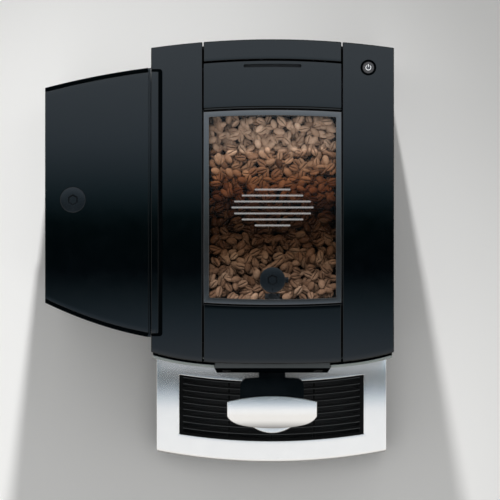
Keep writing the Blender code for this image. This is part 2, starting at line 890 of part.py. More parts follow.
def top_hinge_pin():
    """The one pin that the powder flap and the bean lid share."""
    start = (CENTRE_LEFT + GAP, HINGE_Y, HINGE_Z)
    end = (CENTRE_RIGHT - GAP, HINGE_Y, HINGE_Z)
    place("top_hinge_pin", rod(start, end, HINGE_RADIUS, sides=SMALL_SIDES), "steel")


def powder_flap():
    def back(x):
        return back_edge(x, FLAP_BACK)

    base = TOP_BASE + TOP_SKIRT - FLAP_THICKNESS
    flap = place(
        "powder_flap",
        slab((CENTRE_LEFT, CENTRE_RIGHT), back, level(FLAP_FRONT), base, crown, 8, 3),
        "slate_gloss",
        (CENTRE, HINGE_Y, HINGE_Z),
    )
    slot = slab(
        around(CENTRE, SLOT_WIDTH),
        shifted(back, -SLOT_FROM_EDGE + SLOT_DEPTH / 2),
        shifted(back, -SLOT_FROM_EDGE - SLOT_DEPTH / 2),
        base - OVERRUN,
        level(HEIGHT + OVERRUN),
        4,
    )
    cut(flap, slot)


def powder_funnel():
    plate_top = TOP_BASE + TOP_SKIRT - FLAP_THICKNESS - GAP
    plate = slab(
        (CENTRE_LEFT + GAP, CENTRE_RIGHT - GAP),
        lambda x: back_edge(x, FLAP_BACK),
        level(FLAP_FRONT),
        plate_top - FUNNEL_PLATE,
        level(plate_top),
    )
    middle = (FLAP_BACK - BACK_SAGITTA / 3 + FLAP_FRONT) / 2
    chute_y = BREW_Y + BREW_DEPTH / 2 - CHUTE_DEPTH
    levels = [
        (LOWER_DECK + DECK_THICKNESS + GAP + BREW_HEIGHT + GAP, chute_y, CHUTE_WIDTH, CHUTE_DEPTH),
        (plate_top - FUNNEL_KNEE_DROP, middle - FUNNEL_KNEE_SHIFT, FUNNEL_KNEE_WIDTH, FUNNEL_KNEE_DEPTH),
        (plate_top - FUNNEL_COLLAR, middle, FUNNEL_WIDTH, FUNNEL_DEPTH),
        (plate_top, middle, FUNNEL_WIDTH, FUNNEL_DEPTH),
    ]

    def rings(wall, overrun):
        outlines = []
        for z, y, width, depth in levels:
            outlines.append(rectangle(around(CENTRE, width - 2 * wall), around(y, depth - 2 * wall), z))
        outlines[0] = [(x, y, z - overrun) for x, y, z in outlines[0]]
        outlines[-1] = [(x, y, z + overrun) for x, y, z in outlines[-1]]
        return outlines

    funnel = place("powder_funnel", plate, "slate_matte")
    join(funnel, loft(rings(0, 0)))
    cut(funnel, loft(rings(FUNNEL_WALL, OVERRUN)))


# Bean lid


def window_base():
    return crown(LID_FRONT) - WINDOW_THICKNESS


def bean_lid():
    pivot = (CENTRE, HINGE_Y, HINGE_Z)
    x_span = (CENTRE_LEFT, CENTRE_RIGHT)
    frame = place(
        "bean_lid_frame",
        slab(x_span, lid_back_edge, lid_front_edge, TOP_BASE + SEAL_HEIGHT + 2 * GAP, crown, 8, 6),
        "grey_frame",
        pivot,
    )

    def inside(inset, bottom, top, rows=1):
        return slab(
            (CENTRE_LEFT + inset, CENTRE_RIGHT - inset),
            shifted(lid_back_edge, -inset),
            shifted(lid_front_edge, inset),
            bottom,
            top,
            8,
            rows,
        )

    base = window_base()
    seat = inside(LID_BORDER, base - GAP, level(HEIGHT + OVERRUN))
    through = inside(LID_BORDER + LID_LEDGE, TOP_BASE - OVERRUN, level(HEIGHT + OVERRUN))
    cut(frame, seat)
    cut(frame, through)

    surface = lambda y: crown(y) - WINDOW_INSET
    window = place("bean_window", inside(LID_BORDER + GAP, base, surface, 6), "smoked_clear", pivot)
    x, y = bean_lock_place()
    bore = lock_bore(x, y, crown(y), base)
    cut(window, bore)


def lock_bore(x, y, surface, bottom):
    """The stepped bore that a lock's head and shaft sit in."""
    sink = surface - LOCK_SINK - GAP
    return turned(
        [
            (0, bottom - OVERRUN),
            (LOCK_SHAFT_RADIUS + GAP, bottom - OVERRUN),
            (LOCK_SHAFT_RADIUS + GAP, sink),
            (LOCK_RADIUS + GAP, sink),
            (LOCK_RADIUS + GAP, HEIGHT + OVERRUN),
            (0, HEIGHT + OVERRUN),
        ],
        (x, y),
    )


def bean_lock_place():
    return CENTRE, LID_FRONT + BEAN_LOCK_FROM_FRONT


def lock(name, x, y, surface, drop, reach, turn, finish):
    """A flush disc with a hexagon recess, turned by a key, and a cam on its shaft below."""
    head_base = surface - LOCK_SINK
    head = rod((x, y, head_base), (x, y, head_base + LOCK_HEAD), LOCK_RADIUS)
    piece = place(name, head, finish, (x, y, head_base))
    shaft = rod((x, y, surface - drop), (x, y, head_base + LOCK_HEAD / 2), LOCK_SHAFT_RADIUS, sides=SMALL_SIDES)
    cam = box((0, reach), around(0, CAM_WIDTH), around(0, CAM_HEIGHT))
    place_cam = Matrix.Translation((x, y, surface - drop + CAM_HEIGHT / 2)) @ Matrix.Rotation(turn, 4, "Z")
    bmesh.ops.transform(cam, matrix=place_cam, verts=cam.verts)
    key_top = head_base + LOCK_HEAD
    key = rod((x, y, key_top - LOCK_KEY_DEPTH), (x, y, key_top + OVERRUN), LOCK_KEY_RADIUS, sides=6)
    join(piece, shaft)
    join(piece, cam)
    cut(piece, key)


def bean_lock():
    x, y = bean_lock_place()
    cam_top = WALL_TOP - CATCH_HEIGHT - GAP
    drop = crown(y) - cam_top + CAM_HEIGHT
    lock("bean_lock", x, y, crown(y), drop, BEAN_CAM_REACH, 0, "slate_matte")


def lid_seal():
    rim = hopper_outline(HOPPER_FLANGE)
    inner = hopper_outline(-HOPPER_WALL)
    z_span = (TOP_BASE, TOP_BASE + SEAL_HEIGHT)
    seal = place("lid_seal", box(*narrowed(rim, CENTRE_WIDTH), z_span), "rubber")
    cut(seal, box(*inner, (z_span[0] - OVERRUN, z_span[1] + OVERRUN)))


def narrowed(spans, width):
    """The same rectangle, no wider than the centre strip and no deeper than the lid's straight part."""
    x_span, y_span = spans
    x_span = (max(x_span[0], CENTRE - width / 2), min(x_span[1], CENTRE + width / 2))
    y_span = (max(y_span[0], LID_FRONT + LID_SAGITTA), min(y_span[1], LID_BACK - LID_SAGITTA))
    return x_span, y_span


# Bean hopper and beans


def hopper_outline(outset):
    half = HOPPER_WIDTH / 2 + outset
    return (CENTRE - half, CENTRE + half), (HOPPER_FRONT - outset, HOPPER_BACK + outset)


def hopper_rings(wall, top, bottom):
    """A rectangle that narrows to the throat over the grinder."""
    x_span, y_span = hopper_outline(-wall)
    throat = THROAT_RADIUS - wall
    knee = WALL_TOP - HOPPER_STRAIGHT
    throat_x = (CENTRE - throat, CENTRE + throat)
    throat_y = (GRINDER_Y - throat, GRINDER_Y + throat)
    return [
        rectangle(throat_x, throat_y, bottom),
        rectangle(throat_x, throat_y, THROAT_HEIGHT + HOPPER_FLANGE),
        rectangle(x_span, y_span, knee),
        rectangle(x_span, y_span, top),
    ]


def bean_hopper():
    hopper = place("bean_hopper", loft(hopper_rings(0, WALL_TOP, THROAT_HEIGHT)), "smoked_clear")
    flange = box(*hopper_outline(HOPPER_FLANGE), (WALL_TOP - HOPPER_FLANGE_HEIGHT, WALL_TOP))
    join(hopper, flange)
    cut(hopper, loft(hopper_rings(HOPPER_WALL, WALL_TOP + OVERRUN, THROAT_HEIGHT - OVERRUN)))
    front = HOPPER_FRONT + HOPPER_WALL
    catch = box(
        around(CENTRE, CATCH_WIDTH),
        (HOPPER_FRONT + HOPPER_WALL / 2, front + CATCH_REACH),
        (WALL_TOP - CATCH_HEIGHT, WALL_TOP),
    )
    join(hopper, catch)


def bean_load():
    wall = HOPPER_WALL + 2 * GAP
    place("bean_load", loft(hopper_rings(wall, WALL_TOP - BEAN_DROP, THROAT_HEIGHT)), "roasted_bean")


# Grinder


def grinder():
    centre = (CENTRE, GRINDER_Y)
    base = UPPER_DECK + DECK_THICKNESS + GAP
    top = THROAT_HEIGHT - GAP
    inner = GRINDER_RADIUS - GRINDER_WALL
    bore = SHAFT_RADIUS + SHAFT_CLEARANCE
    floor = base + GRINDER_FLOOR
    housing = place(
        "grinder_housing",
        turned(
            [(bore, base), (GRINDER_RADIUS, base), (GRINDER_RADIUS, top), (inner, top), (inner, floor), (bore, floor)],
            centre,
            ring=True,
        ),
        "cast_alloy",
    )
    duct_y = (GRINDER_Y + inner - OUTLET_WALL, GRINDER_Y + GRINDER_RADIUS + OUTLET_LENGTH)
    duct_z = (floor + OUTLET_WALL, floor + OUTLET_WALL + OUTLET_HEIGHT)
    duct = box(around(CENTRE, OUTLET_WIDTH), (duct_y[0] + 2 * OUTLET_WALL, duct_y[1]), duct_z)
    join(housing, duct)
    way = box(
        around(CENTRE, OUTLET_WIDTH - 2 * OUTLET_WALL),
        (duct_y[0] - OVERRUN, duct_y[1] + OVERRUN),
        (duct_z[0] + OUTLET_WALL, duct_z[1] - OUTLET_WALL),
    )
    cut(housing, way)

    disc = floor + BURR_CLEARANCE
    cone = disc + BURR_DISC_HEIGHT
    tip = cone + BURR_CONE_HEIGHT
    shaft_end = UPPER_DECK - GAP
    lower = turned(
        [
            (0, shaft_end + GAP),
            (SHAFT_RADIUS, shaft_end + GAP),
            (SHAFT_RADIUS, disc),
            (BURR_RADIUS, disc),
            (BURR_RADIUS, cone),
            (BURR_TIP_RADIUS, tip),
            (0, tip),
        ],
        centre,
    )
    place("lower_burr", lower, "steel", (CENTRE, GRINDER_Y, disc))

    ring_base = cone
    ring_top = top - BURR_CLEARANCE
    outer = inner - 2 * GAP
    near = BURR_RADIUS + BURR_CLEARANCE
    mouth = BURR_TIP_RADIUS + BURR_CLEARANCE
    upper = turned(
        [(near, ring_base), (outer, ring_base), (outer, ring_top), (near, ring_top), (mouth + GAP, tip), (mouth, tip)],
        centre,
        ring=True,
    )
    ring = place("upper_burr", upper, "cast_alloy", (CENTRE, GRINDER_Y, ring_top))
    return ring


def grinder_motor():
    top = UPPER_DECK - GAP
    height = MOTOR_SHARE * (top - LOWER_DECK - DECK_THICKNESS)
    motor = turned(
        [(0, top - height), (MOTOR_RADIUS, top - height), (MOTOR_RADIUS, top), (0, top)],
        (CENTRE, GRINDER_Y),
    )
    place("grinder_motor", motor, "sheet_steel")


# Chassis and what stands on it


def cheek_span(side):
    outer = BODY_WIDTH / 2 - SIDE_INSET - SIDE_THICKNESS - GAP
    return sorted((CENTRE + side * outer, CENTRE + side * (outer - CHEEK_THICKNESS)))


def chassis():
    top = UPPER_DECK + DECK_THICKNESS
    left = cheek_span(-1)
    right = cheek_span(1)
    y_span = (CHEEK_FRONT, CHEEK_BACK)
    frame = place("chassis", box(left, y_span, (WALL_BASE, top)), "sheet_steel")
    across_span = (left[1] - CHEEK_THICKNESS / 2, right[0] + CHEEK_THICKNESS / 2)
    join(frame, box(across_span, y_span, (LOWER_DECK, LOWER_DECK + DECK_THICKNESS)))
    join(frame, box(right, y_span, (WALL_BASE, top)))
    join(frame, box(across_span, (CHEEK_FRONT, UPPER_DECK_BACK), (UPPER_DECK, top)))
    holes = together([
        rod((CENTRE, BREW_Y, LOWER_DECK - OVERRUN), (CENTRE, BREW_Y, LOWER_DECK + OVERRUN), PUCK_HOLE),
        rod(
            (CENTRE, GRINDER_Y, UPPER_DECK - OVERRUN),
            (CENTRE, GRINDER_Y, top + OVERRUN),
            SHAFT_RADIUS + SHAFT_CLEARANCE,
            sides=SMALL_SIDES,
        ),
    ])
    cut(frame, holes)


def brew_unit():
    base = LOWER_DECK + DECK_THICKNESS + GAP
    top = base + BREW_HEIGHT
    x_span = around(CENTRE, BREW_WIDTH)
    y_span = around(BREW_Y, BREW_DEPTH)
    housing = place("brew_housing", box(x_span, y_span, (base, top)), "white_plastic")
    cut(housing, box(
        (x_span[0] + BREW_PLATE, x_span[1] - BREW_PLATE),
        (y_span[0] - OVERRUN, y_span[1] - BREW_PLATE),
        (base + BREW_PLATE, top - BREW_PLATE),
    ))
    chamber_top = base + BREW_PLATE + CHAMBER_SHARE * BREW_HEIGHT
    join(housing, rod((CENTRE, BREW_Y, base), (CENTRE, BREW_Y, chamber_top), CHAMBER_RADIUS))
    screw_x = CENTRE + SCREW_ASIDE
    screw_y = BREW_Y - SCREW_FORWARD
    chute_y = BREW_Y + BREW_DEPTH / 2 - CHUTE_DEPTH
    cut(housing, turned(
        [
            (0, base - OVERRUN),
            (PUCK_HOLE, base - OVERRUN),
            (PUCK_HOLE, base + BREW_PLATE),
            (CHAMBER_BORE, base + BREW_PLATE),
            (CHAMBER_BORE, chamber_top + OVERRUN),
            (0, chamber_top + OVERRUN),
        ],
        (CENTRE, BREW_Y),
    ))
    holes = together([
        rod((screw_x, screw_y, top - 2 * BREW_PLATE), (screw_x, screw_y, top + OVERRUN), SCREW_RADIUS + GAP),
        box(
            around(CENTRE, CHUTE_WIDTH - 2 * FUNNEL_WALL),
            around(chute_y, CHUTE_DEPTH - 2 * FUNNEL_WALL),
            (top - 2 * BREW_PLATE, top + OVERRUN),
        ),
    ])
    cut(housing, holes)

    piston_base = chamber_top + GAP
    arm_base = piston_base + PISTON_HEIGHT + PISTON_ROD_SHARE * BREW_HEIGHT - ARM_HEIGHT
    disc = rod(
        (CENTRE, BREW_Y, piston_base),
        (CENTRE, BREW_Y, piston_base + PISTON_HEIGHT),
        CHAMBER_BORE - PISTON_CLEARANCE,
    )
    piston = place("brew_piston", disc, "white_plastic", (CENTRE, BREW_Y, piston_base))
    stem = rod(
        (CENTRE, BREW_Y, piston_base + PISTON_HEIGHT / 2),
        (CENTRE, BREW_Y, arm_base + ARM_HEIGHT),
        PISTON_ROD_RADIUS,
        sides=SMALL_SIDES,
    )
    arm = box(
        (CENTRE, x_span[1] - BREW_PLATE - GAP),
        (screw_y - ARM_WIDTH / 2, BREW_Y + PISTON_ROD_RADIUS / 2),
        (arm_base, arm_base + ARM_HEIGHT),
    )
    nut = rod(
        (screw_x, screw_y, arm_base - OVERRUN),
        (screw_x, screw_y, arm_base + ARM_HEIGHT + OVERRUN),
        SCREW_RADIUS + GAP,
        sides=SMALL_SIDES,
    )
    join(piston, stem)
    join(piston, arm)
    cut(piston, nut)

    screw_base = base + BREW_PLATE + GAP
    screw = turned(
        [
            (0, screw_base),
            (SCREW_RADIUS, screw_base),
            (SCREW_RADIUS, top + GAP),
            (0, top + GAP),
        ],
        (screw_x, screw_y),
        sides=SMALL_SIDES,
    )
    place("brew_screw", screw, "steel", (screw_x, screw_y, screw_base))
    motor_base = top + 2 * GAP
    motor = rod(
        (screw_x, screw_y, motor_base),
        (screw_x, screw_y, motor_base + BREW_MOTOR_HEIGHT),
        BREW_MOTOR_RADIUS,
    )
    place("brew_motor", motor, "sheet_steel")


def thermoblock():
    base = LOWER_DECK + DECK_THICKNESS + GAP
    left = cheek_span(-1)[1] + HEATER_FROM_CHEEK
    back = CHEEK_BACK - HEATER_FROM_BACK
    top = base + HEATER_HEIGHT
    block = box((left, left + HEATER_WIDTH), (back - HEATER_DEPTH, back), (base, top))
    heater = place("thermoblock", block, "cast_alloy")
    for share in (-1, 1):
        x = left + HEATER_WIDTH / 2 + share * HEATER_WIDTH / 4
        y = back - HEATER_DEPTH / 2
        join(heater, rod((x, y, top - GAP), (x, y, top + HEATER_PIPE_LENGTH), HEATER_PIPE_RADIUS, sides=SMALL_SIDES))


def pump():
    x = LEFT + TANK_WIDTH / 2
    y_span = around((TANK_BACK_OUTER + TANK_FRONT_OUTER) / 2, PUMP_LENGTH)
    barrel = rod((x, y_span[0], PUMP_HEIGHT), (x, y_span[1], PUMP_HEIGHT), PUMP_RADIUS)
    piece = place("pump", barrel, "sheet_steel")
    join(piece, box(around(x, PUMP_FOOT_WIDTH), y_span, (WALL_BASE, PUMP_HEIGHT)))


def control_board():
    wall = cheek_span(1)[0]
    face = wall - GAP - BOARD_STANDOFF
    middle = (UPPER_DECK_BACK + CHEEK_BACK) / 2
    y_span = around(middle, BOARD_DEPTH)
    z_span = (BOARD_BASE, BOARD_BASE + BOARD_HEIGHT)
    board = place("control_board", box((face - BOARD_THICKNESS, face), y_span, z_span), "board_green")
    posts = []
    for y in (y_span[0] + BOARD_MARGIN, y_span[1] - BOARD_MARGIN):
        for z in (z_span[0] + BOARD_MARGIN, z_span[1] - BOARD_MARGIN):
            posts.append(rod((face - GAP, y, z), (wall - GAP, y, z), BOARD_STANDOFF_RADIUS, sides=8))
    join(board, together(posts))
    quarter = BOARD_DEPTH / 4
    parts = []
    for share in (-1, 0, 1):
        parts.append(box(
            (face - BOARD_THICKNESS - BOARD_PART_HEIGHT, face - BOARD_THICKNESS / 2),
            around(middle + share * quarter, quarter / 2),
            around(z_span[0] + BOARD_HEIGHT / 2 + share * BOARD_HEIGHT / 8, BOARD_HEIGHT / 2),
        ))
    join(board, together(parts))


def mains_inlet():
    outside = BACK - REAR_INSET + GAP
    width = INLET_WIDTH + 2 * INLET_FLANGE
    height = INLET_HEIGHT + 2 * INLET_FLANGE
    flange = box(around(CENTRE, width), (outside, outside + INLET_FLANGE_THICKNESS), around(INLET_Z, height))
    inlet = place("mains_inlet", flange, "slate_matte")
    inside = outside - INLET_DEPTH
    join(inlet, box(around(CENTRE, INLET_WIDTH), (inside, outside + GAP), around(INLET_Z, INLET_HEIGHT)))
    cut(inlet, box(
        around(CENTRE, INLET_WIDTH - 2 * INLET_WALL),
        (inside + INLET_WALL, outside + OVERRUN),
        around(INLET_Z, INLET_HEIGHT - 2 * INLET_WALL),
    ))
    pins = []
    for share, lift in ((-1, -1), (0, 1), (1, -1)):
        pins.append(box(
            around(CENTRE + share * INLET_PIN_SPACING, INLET_PIN_WIDTH),
            (inside + INLET_WALL / 2, inside + INLET_WALL + INLET_PIN_LENGTH),
            around(INLET_Z + lift * INLET_PIN_HEIGHT / 2, INLET_PIN_HEIGHT),
        ))
    join(inlet, together(pins))


# Display, its buttons and the power button


def display_slope():
    """How far the display's face leans forward for each metre of drop."""
    return (DISPLAY_FOOT_REACH - DISPLAY_LEDGE) / DISPLAY_HEIGHT


def display_face(z):
    return TOP_FRONT - DISPLAY_LEDGE - display_slope() * (DISPLAY_TOP - z)


def display_inward():
    return Vector((0, 1, -display_slope())).normalized()


def button_places():
    """Name, x and z of each button, in two columns beside the screen."""
    places = []
    for side, word in ((-1, "left"), (1, "right")):
        for row in range(BUTTON_ROWS):
            z = SCREEN_Z + ((BUTTON_ROWS - 1) / 2 - row) * BUTTON_SPACING
            places.append((f"button_{word}_{row + 1}", CENTRE + side * BUTTON_OFFSET, z))
    return places


def display():
    def outline(width, reach, z):
        x_span = around(CENTRE, width)
        back = edge_points(x_span, lambda x: front_edge(x, TOP_FRONT - PANEL_PROUD - GAP), 8)
        points = list(reversed(back))
        points.append((x_span[0], TOP_FRONT - reach))
        points.append((x_span[1], TOP_FRONT - reach))
        return [(x, y, z) for x, y in points]

    bottom = DISPLAY_TOP - DISPLAY_HEIGHT
    housing = place(
        "display_housing",
        loft([
            outline(DISPLAY_FOOT_WIDTH, DISPLAY_FOOT_REACH, bottom),
            outline(DISPLAY_WIDTH, DISPLAY_LEDGE, DISPLAY_TOP),
        ]),
        "black_gloss",
    )
    tilt = Matrix.Rotation(-math.atan(display_slope()), 4, "X")
    to_face = Matrix.Translation((CENTRE, display_face(SCREEN_Z), SCREEN_Z)) @ tilt
    recess = box(
        around(0, SCREEN_WIDTH + 2 * GAP),
        (-OVERRUN, SCREEN_THICKNESS + GAP),
        around(0, SCREEN_HEIGHT + 2 * GAP),
    )
    bmesh.ops.transform(recess, matrix=to_face, verts=recess.verts)
    cut(housing, recess)
    glass = box(around(0, SCREEN_WIDTH), (0, SCREEN_THICKNESS), around(0, SCREEN_HEIGHT))
    bmesh.ops.transform(glass, matrix=to_face, verts=glass.verts)
    place("display_screen", glass, "black_gloss")

    inward = display_inward()
    bores = []
    for name, x, z in button_places():
        face = Vector((x, display_face(z), z))
        front = face - inward * BUTTON_PROUD
        place(
            name,
            rod(front, front + inward * BUTTON_LENGTH, BUTTON_RADIUS, sides=SMALL_SIDES),
            "silver",
            face,
        )
        bores.append(rod(
            face - inward * OVERRUN,
            face + inward * BUTTON_BORE,
            BUTTON_RADIUS + GAP,
            sides=SMALL_SIDES,
        ))
    cut(housing, together(bores))


def power_switch():
    surface = crown(POWER_Y)
    base = surface - POWER_RING_DEPTH
    centre = (POWER_X, POWER_Y)
    bore = POWER_CAP_RADIUS + GAP
    cup = turned(
        [
            (0, base),
            (POWER_RADIUS, base),
            (POWER_RADIUS, surface),
            (bore, surface),
            (bore, base + POWER_RING_FLOOR),
            (0, base + POWER_RING_FLOOR),
        ],
        centre,
    )
    place("power_ring", cup, "black_gloss")
    top = surface - POWER_CAP_SINK
    cap = rod((*centre, top - POWER_CAP_LENGTH), (*centre, top), POWER_CAP_RADIUS)
    place("power_button", cap, "sheet_steel", (*centre, top))


# Coffee spout


def spout_block():
    """The dark block, from its neck through the shoulders to the front, as half an outline mirrored."""
    back = TOP_FRONT - SPOUT_BLOCK_BACK
    front = TOP_FRONT - SPOUT_BLOCK_FRONT
    neck = SPOUT_NECK_WIDTH / 2
    half = SPOUT_BLOCK_WIDTH / 2
    shoulder = [(neck + SLOT_CLEARANCE, back)]
    for step in range(1, 5):
        angle = math.pi / 2 * step / 4
        shoulder.append((
            half - SPOUT_SHOULDER * (1 - math.sin(angle)),
            back - SPOUT_SHOULDER * (1 - math.cos(angle)),
        ))
    right = shoulder + [(half, front)]
    outline = [(CENTRE + x, y) for x, y in right]
    outline += [(CENTRE - x, y) for x, y in reversed(right)]
    return prism(outline, (SPOUT_REST, SPOUT_REST + SPOUT_BLOCK_HEIGHT))


def spout_carriage():
    rail_y = TOP_FRONT + RAIL_SETBACK
    carriage = place("spout_carriage", spout_block(), "slate_matte")
    middle = SPOUT_REST + SPOUT_BLOCK_HEIGHT / 2
    neck = box(
        around(CENTRE, SPOUT_NECK_WIDTH),
        (TOP_FRONT - SPOUT_BLOCK_BACK - OVERRUN, rail_y),
        around(middle, SPOUT_NECK_HEIGHT),
    )
    join(carriage, neck)
    plate = box(
        around(CENTRE, CARRIAGE_WIDTH),
        around(rail_y, CARRIAGE_DEPTH),
        (SPOUT_REST, SPOUT_REST + SPOUT_BLOCK_HEIGHT),
    )
    join(carriage, plate)
    bores = [
        rod(
            (CENTRE + side * RAIL_OFFSET, rail_y, SPOUT_REST - OVERRUN),
            (CENTRE + side * RAIL_OFFSET, rail_y, SPOUT_REST + SPOUT_BLOCK_HEIGHT + OVERRUN),
            RAIL_RADIUS + RAIL_CLEARANCE,
            sides=SMALL_SIDES,
        )
        for side in (-1, 1)
    ]
    cut(carriage, together(bores))


def spout_guide():
    rail_y = TOP_FRONT + RAIL_SETBACK
    low = SPOUT_REST - SPOUT_TRAVEL - GUIDE_MARGIN
    high = SPOUT_REST + SPOUT_BLOCK_HEIGHT + GUIDE_MARGIN
    plate_y = rail_y + CARRIAGE_DEPTH / 2 + GUIDE_CLEARANCE
    x_span = around(CENTRE, GUIDE_WIDTH)
    guide = place("spout_guide", box(x_span, (plate_y, plate_y + GUIDE_PLATE), (low, high)), "sheet_steel")
    near = max(front_edge(x, TOP_FRONT - PANEL_PROUD + PANEL_THICKNESS) for x in x_span) + GAP
    for z_span in ((low, low + GUIDE_FLANGE), (high - GUIDE_FLANGE, high)):
        join(guide, box(x_span, (near, plate_y + GUIDE_PLATE / 2), z_span))
    rails = [
        rod(
            (CENTRE + side * RAIL_OFFSET, rail_y, low + GUIDE_FLANGE / 2),
            (CENTRE + side * RAIL_OFFSET, rail_y, high - GUIDE_FLANGE / 2),
            RAIL_RADIUS,
            sides=SMALL_SIDES,
        )
        for side in (-1, 1)
    ]
    join(guide, together(rails))


def spout_cover():
    back = TOP_FRONT - SPOUT_COVER_BACK
    front = TOP_FRONT - SPOUT_COVER_FRONT
    middle = (back + front) / 2
    base = SPOUT_REST + SPOUT_BLOCK_HEIGHT + GAP

    def back_curve(x):
        return back - SPOUT_COVER_BACK_SAG * across(x, SPOUT_COVER_WIDTH) ** 2

    def front_curve(x):
        share = abs(across(x, SPOUT_COVER_WIDTH))
        corner = SPOUT_COVER_CORNER * share**SPOUT_COVER_CORNER_POWER
        return front + SPOUT_COVER_FRONT_SAG * share**2 + corner

    def top(y):
        share = (y - middle) / ((back - front) / 2)
        return base + SPOUT_COVER_HEIGHT + SPOUT_COVER_RISE * (1 - share**2)

    cover = slab(around(CENTRE, SPOUT_COVER_WIDTH), back_curve, front_curve, base, top, 14, 6)
    place("spout_cover", cover, "silver")


def spout_lip():
    block_front = TOP_FRONT - SPOUT_BLOCK_FRONT
    top = SPOUT_REST + SPOUT_BLOCK_HEIGHT
    lip = slab(
        around(CENTRE, LIP_WIDTH),
        level(block_front - GAP),
        lambda x: TOP_FRONT - LIP_REACH + LIP_SAG * across(x, LIP_WIDTH) ** 2,
        top - LIP_HEIGHT,
        level(top),
        8,
    )
    place("spout_lip", lip, "silver")


def spout_nozzles():
    y = TOP_FRONT - SPOUT_BLOCK_FRONT + NOZZLE_FROM_FRONT
    top = SPOUT_REST - GAP
    base = top - NOZZLE_PLATE
    plate = box(around(CENTRE, NOZZLE_PLATE_WIDTH), around(y, NOZZLE_PLATE_DEPTH), (base, top))
    nozzles = place("spout_nozzles", plate, "black_gloss")
    places = [CENTRE - NOZZLE_SPACING / 2, CENTRE + NOZZLE_SPACING / 2]
    end = top - NOZZLE_LENGTH
    tip_radius = (NOZZLE_RADIUS + NOZZLE_BORE) / 2
    tips = [rod((x, y, end), (x, y, base + NOZZLE_PLATE / 2), tip_radius, NOZZLE_RADIUS, SMALL_SIDES) for x in places]
    join(nozzles, together(tips))
    bores = [
        rod((x, y, end - OVERRUN), (x, y, top + OVERRUN), NOZZLE_BORE, sides=SMALL_SIDES)
        for x in places
    ]
    cut(nozzles, together(bores))


# Drip tray


def frame_plate_base():
    return TRAY_TOP - TRAY_CROWN - FRAME_PLATE


def grille_middles():
    """Where the front and back edges of the frame's opening cross the middle line."""
    front = TRAY_FRONT + GRILLE_FRONT_RAIL
    return front, front + GRILLE_DEPTH


def opening(inset, bottom, top, columns=8):
    """The curved opening over the basin, drawn in on all sides."""
    front, back = grille_middles()
    return slab(
        around(CENTRE, GRILLE_WIDTH - 2 * inset),
        lambda x: grille_edge(x, back - inset),
        lambda x: grille_edge(x, front + inset),
        bottom,
        level(top),
        columns,
    )


def tray_block(inset, bottom, top, back_inset):
    """The outline of the tray in front of the body, drawn in at its sides and front, and at its back."""
    return slab(
        around(CENTRE, TRAY_WIDTH - 2 * inset),
        shifted(tray_back_edge, -back_inset),
        shifted(tray_front_edge, inset),
        bottom,
        top,
        12,
        4,
    )


def tray_frame():
    frame = place("tray_frame", tray_block(0, TRAY_TOP - TRAY_SKIRT, tray_crown, 0), "silver")
    hollow = (TRAY_TOP - TRAY_SKIRT - OVERRUN, level(frame_plate_base()))
    cut(frame, tray_block(FRAME_WALL, *hollow, -OVERRUN))
    cut(frame, opening(0, frame_plate_base() - OVERRUN, TRAY_TOP + OVERRUN))


def tray_basin():
    top = frame_plate_base() - GAP
    skirt = TRAY_TOP - TRAY_SKIRT - GAP
    lower = tray_block(BASIN_INSET, WALL_BASE, level(skirt), BASIN_INSET)
    basin = place("tray_basin", lower, "slate_matte")
    join(basin, tray_block(FRAME_WALL + GAP, skirt - OVERRUN, level(top), BASIN_INSET))
    tongue_top = WALL_BASE + TONGUE_HEIGHT
    tongue_x = around(CENTRE, TONGUE_WIDTH)
    join(basin, box(tongue_x, (TOP_FRONT - 2 * OVERRUN, TONGUE_BACK), (WALL_BASE, tongue_top)))
    floor = WALL_BASE + BASIN_WALL
    wall = FRAME_WALL + GAP + BASIN_WALL
    cut(basin, tray_block(wall, floor, level(top - BASIN_DECK), wall))
    cut(basin, opening(GRILLE_LEDGE, top - BASIN_DECK - OVERRUN, top + OVERRUN))
    cut(basin, opening(0, grille_base() - GAP, top + OVERRUN))
    cut(basin, box(
        (tongue_x[0] + BASIN_WALL, tongue_x[1] - BASIN_WALL),
        (TONGUE_CAVITY_FRONT, TONGUE_BACK - BASIN_WALL),
        (floor, tongue_top + OVERRUN),
    ))


def grille_base():
    return TRAY_TOP - TRAY_CROWN - GRILLE_THICKNESS


def tray_grille():
    front, back = grille_middles()
    front += GAP
    back -= GAP
    left = CENTRE - GRILLE_WIDTH / 2 + GAP
    right = CENTRE + GRILLE_WIDTH / 2 - GAP
    x_lines = [left, left + GRILLE_SIDE_RIM]
    crossings = [0]
    for share in (-1, 0, 1):
        start, end = around(CENTRE + share * GRILLE_CROSS_SPACING, GRILLE_CROSS_BAR)
        x_lines += [(x_lines[-1] + start) / 2, start]
        crossings.append(len(x_lines) - 1)
        x_lines.append(end)
    x_lines += [(x_lines[-1] + right - GRILLE_SIDE_RIM) / 2, right - GRILLE_SIDE_RIM]
    crossings.append(len(x_lines) - 1)
    x_lines.append(right)

    middles = [front, front + GRILLE_RIM]
    pitch = (back - front - 2 * GRILLE_RIM + GRILLE_BAR) / (GRILLE_BARS + 1)
    for index in range(1, GRILLE_BARS + 1):
        end = front + GRILLE_RIM + index * pitch
        middles += [end - GRILLE_BAR, end]
    middles += [back - GRILLE_RIM, back]
    rows = [lambda x, middle=middle: grille_edge(x, middle) for middle in middles]

    def solid(column, row):
        return row % 2 == 0 or column in crossings

    grille = lattice(x_lines, rows, solid, (grille_base(), grille_base() + GRILLE_THICKNESS))
    place("tray_grille", grille, "black_gloss")


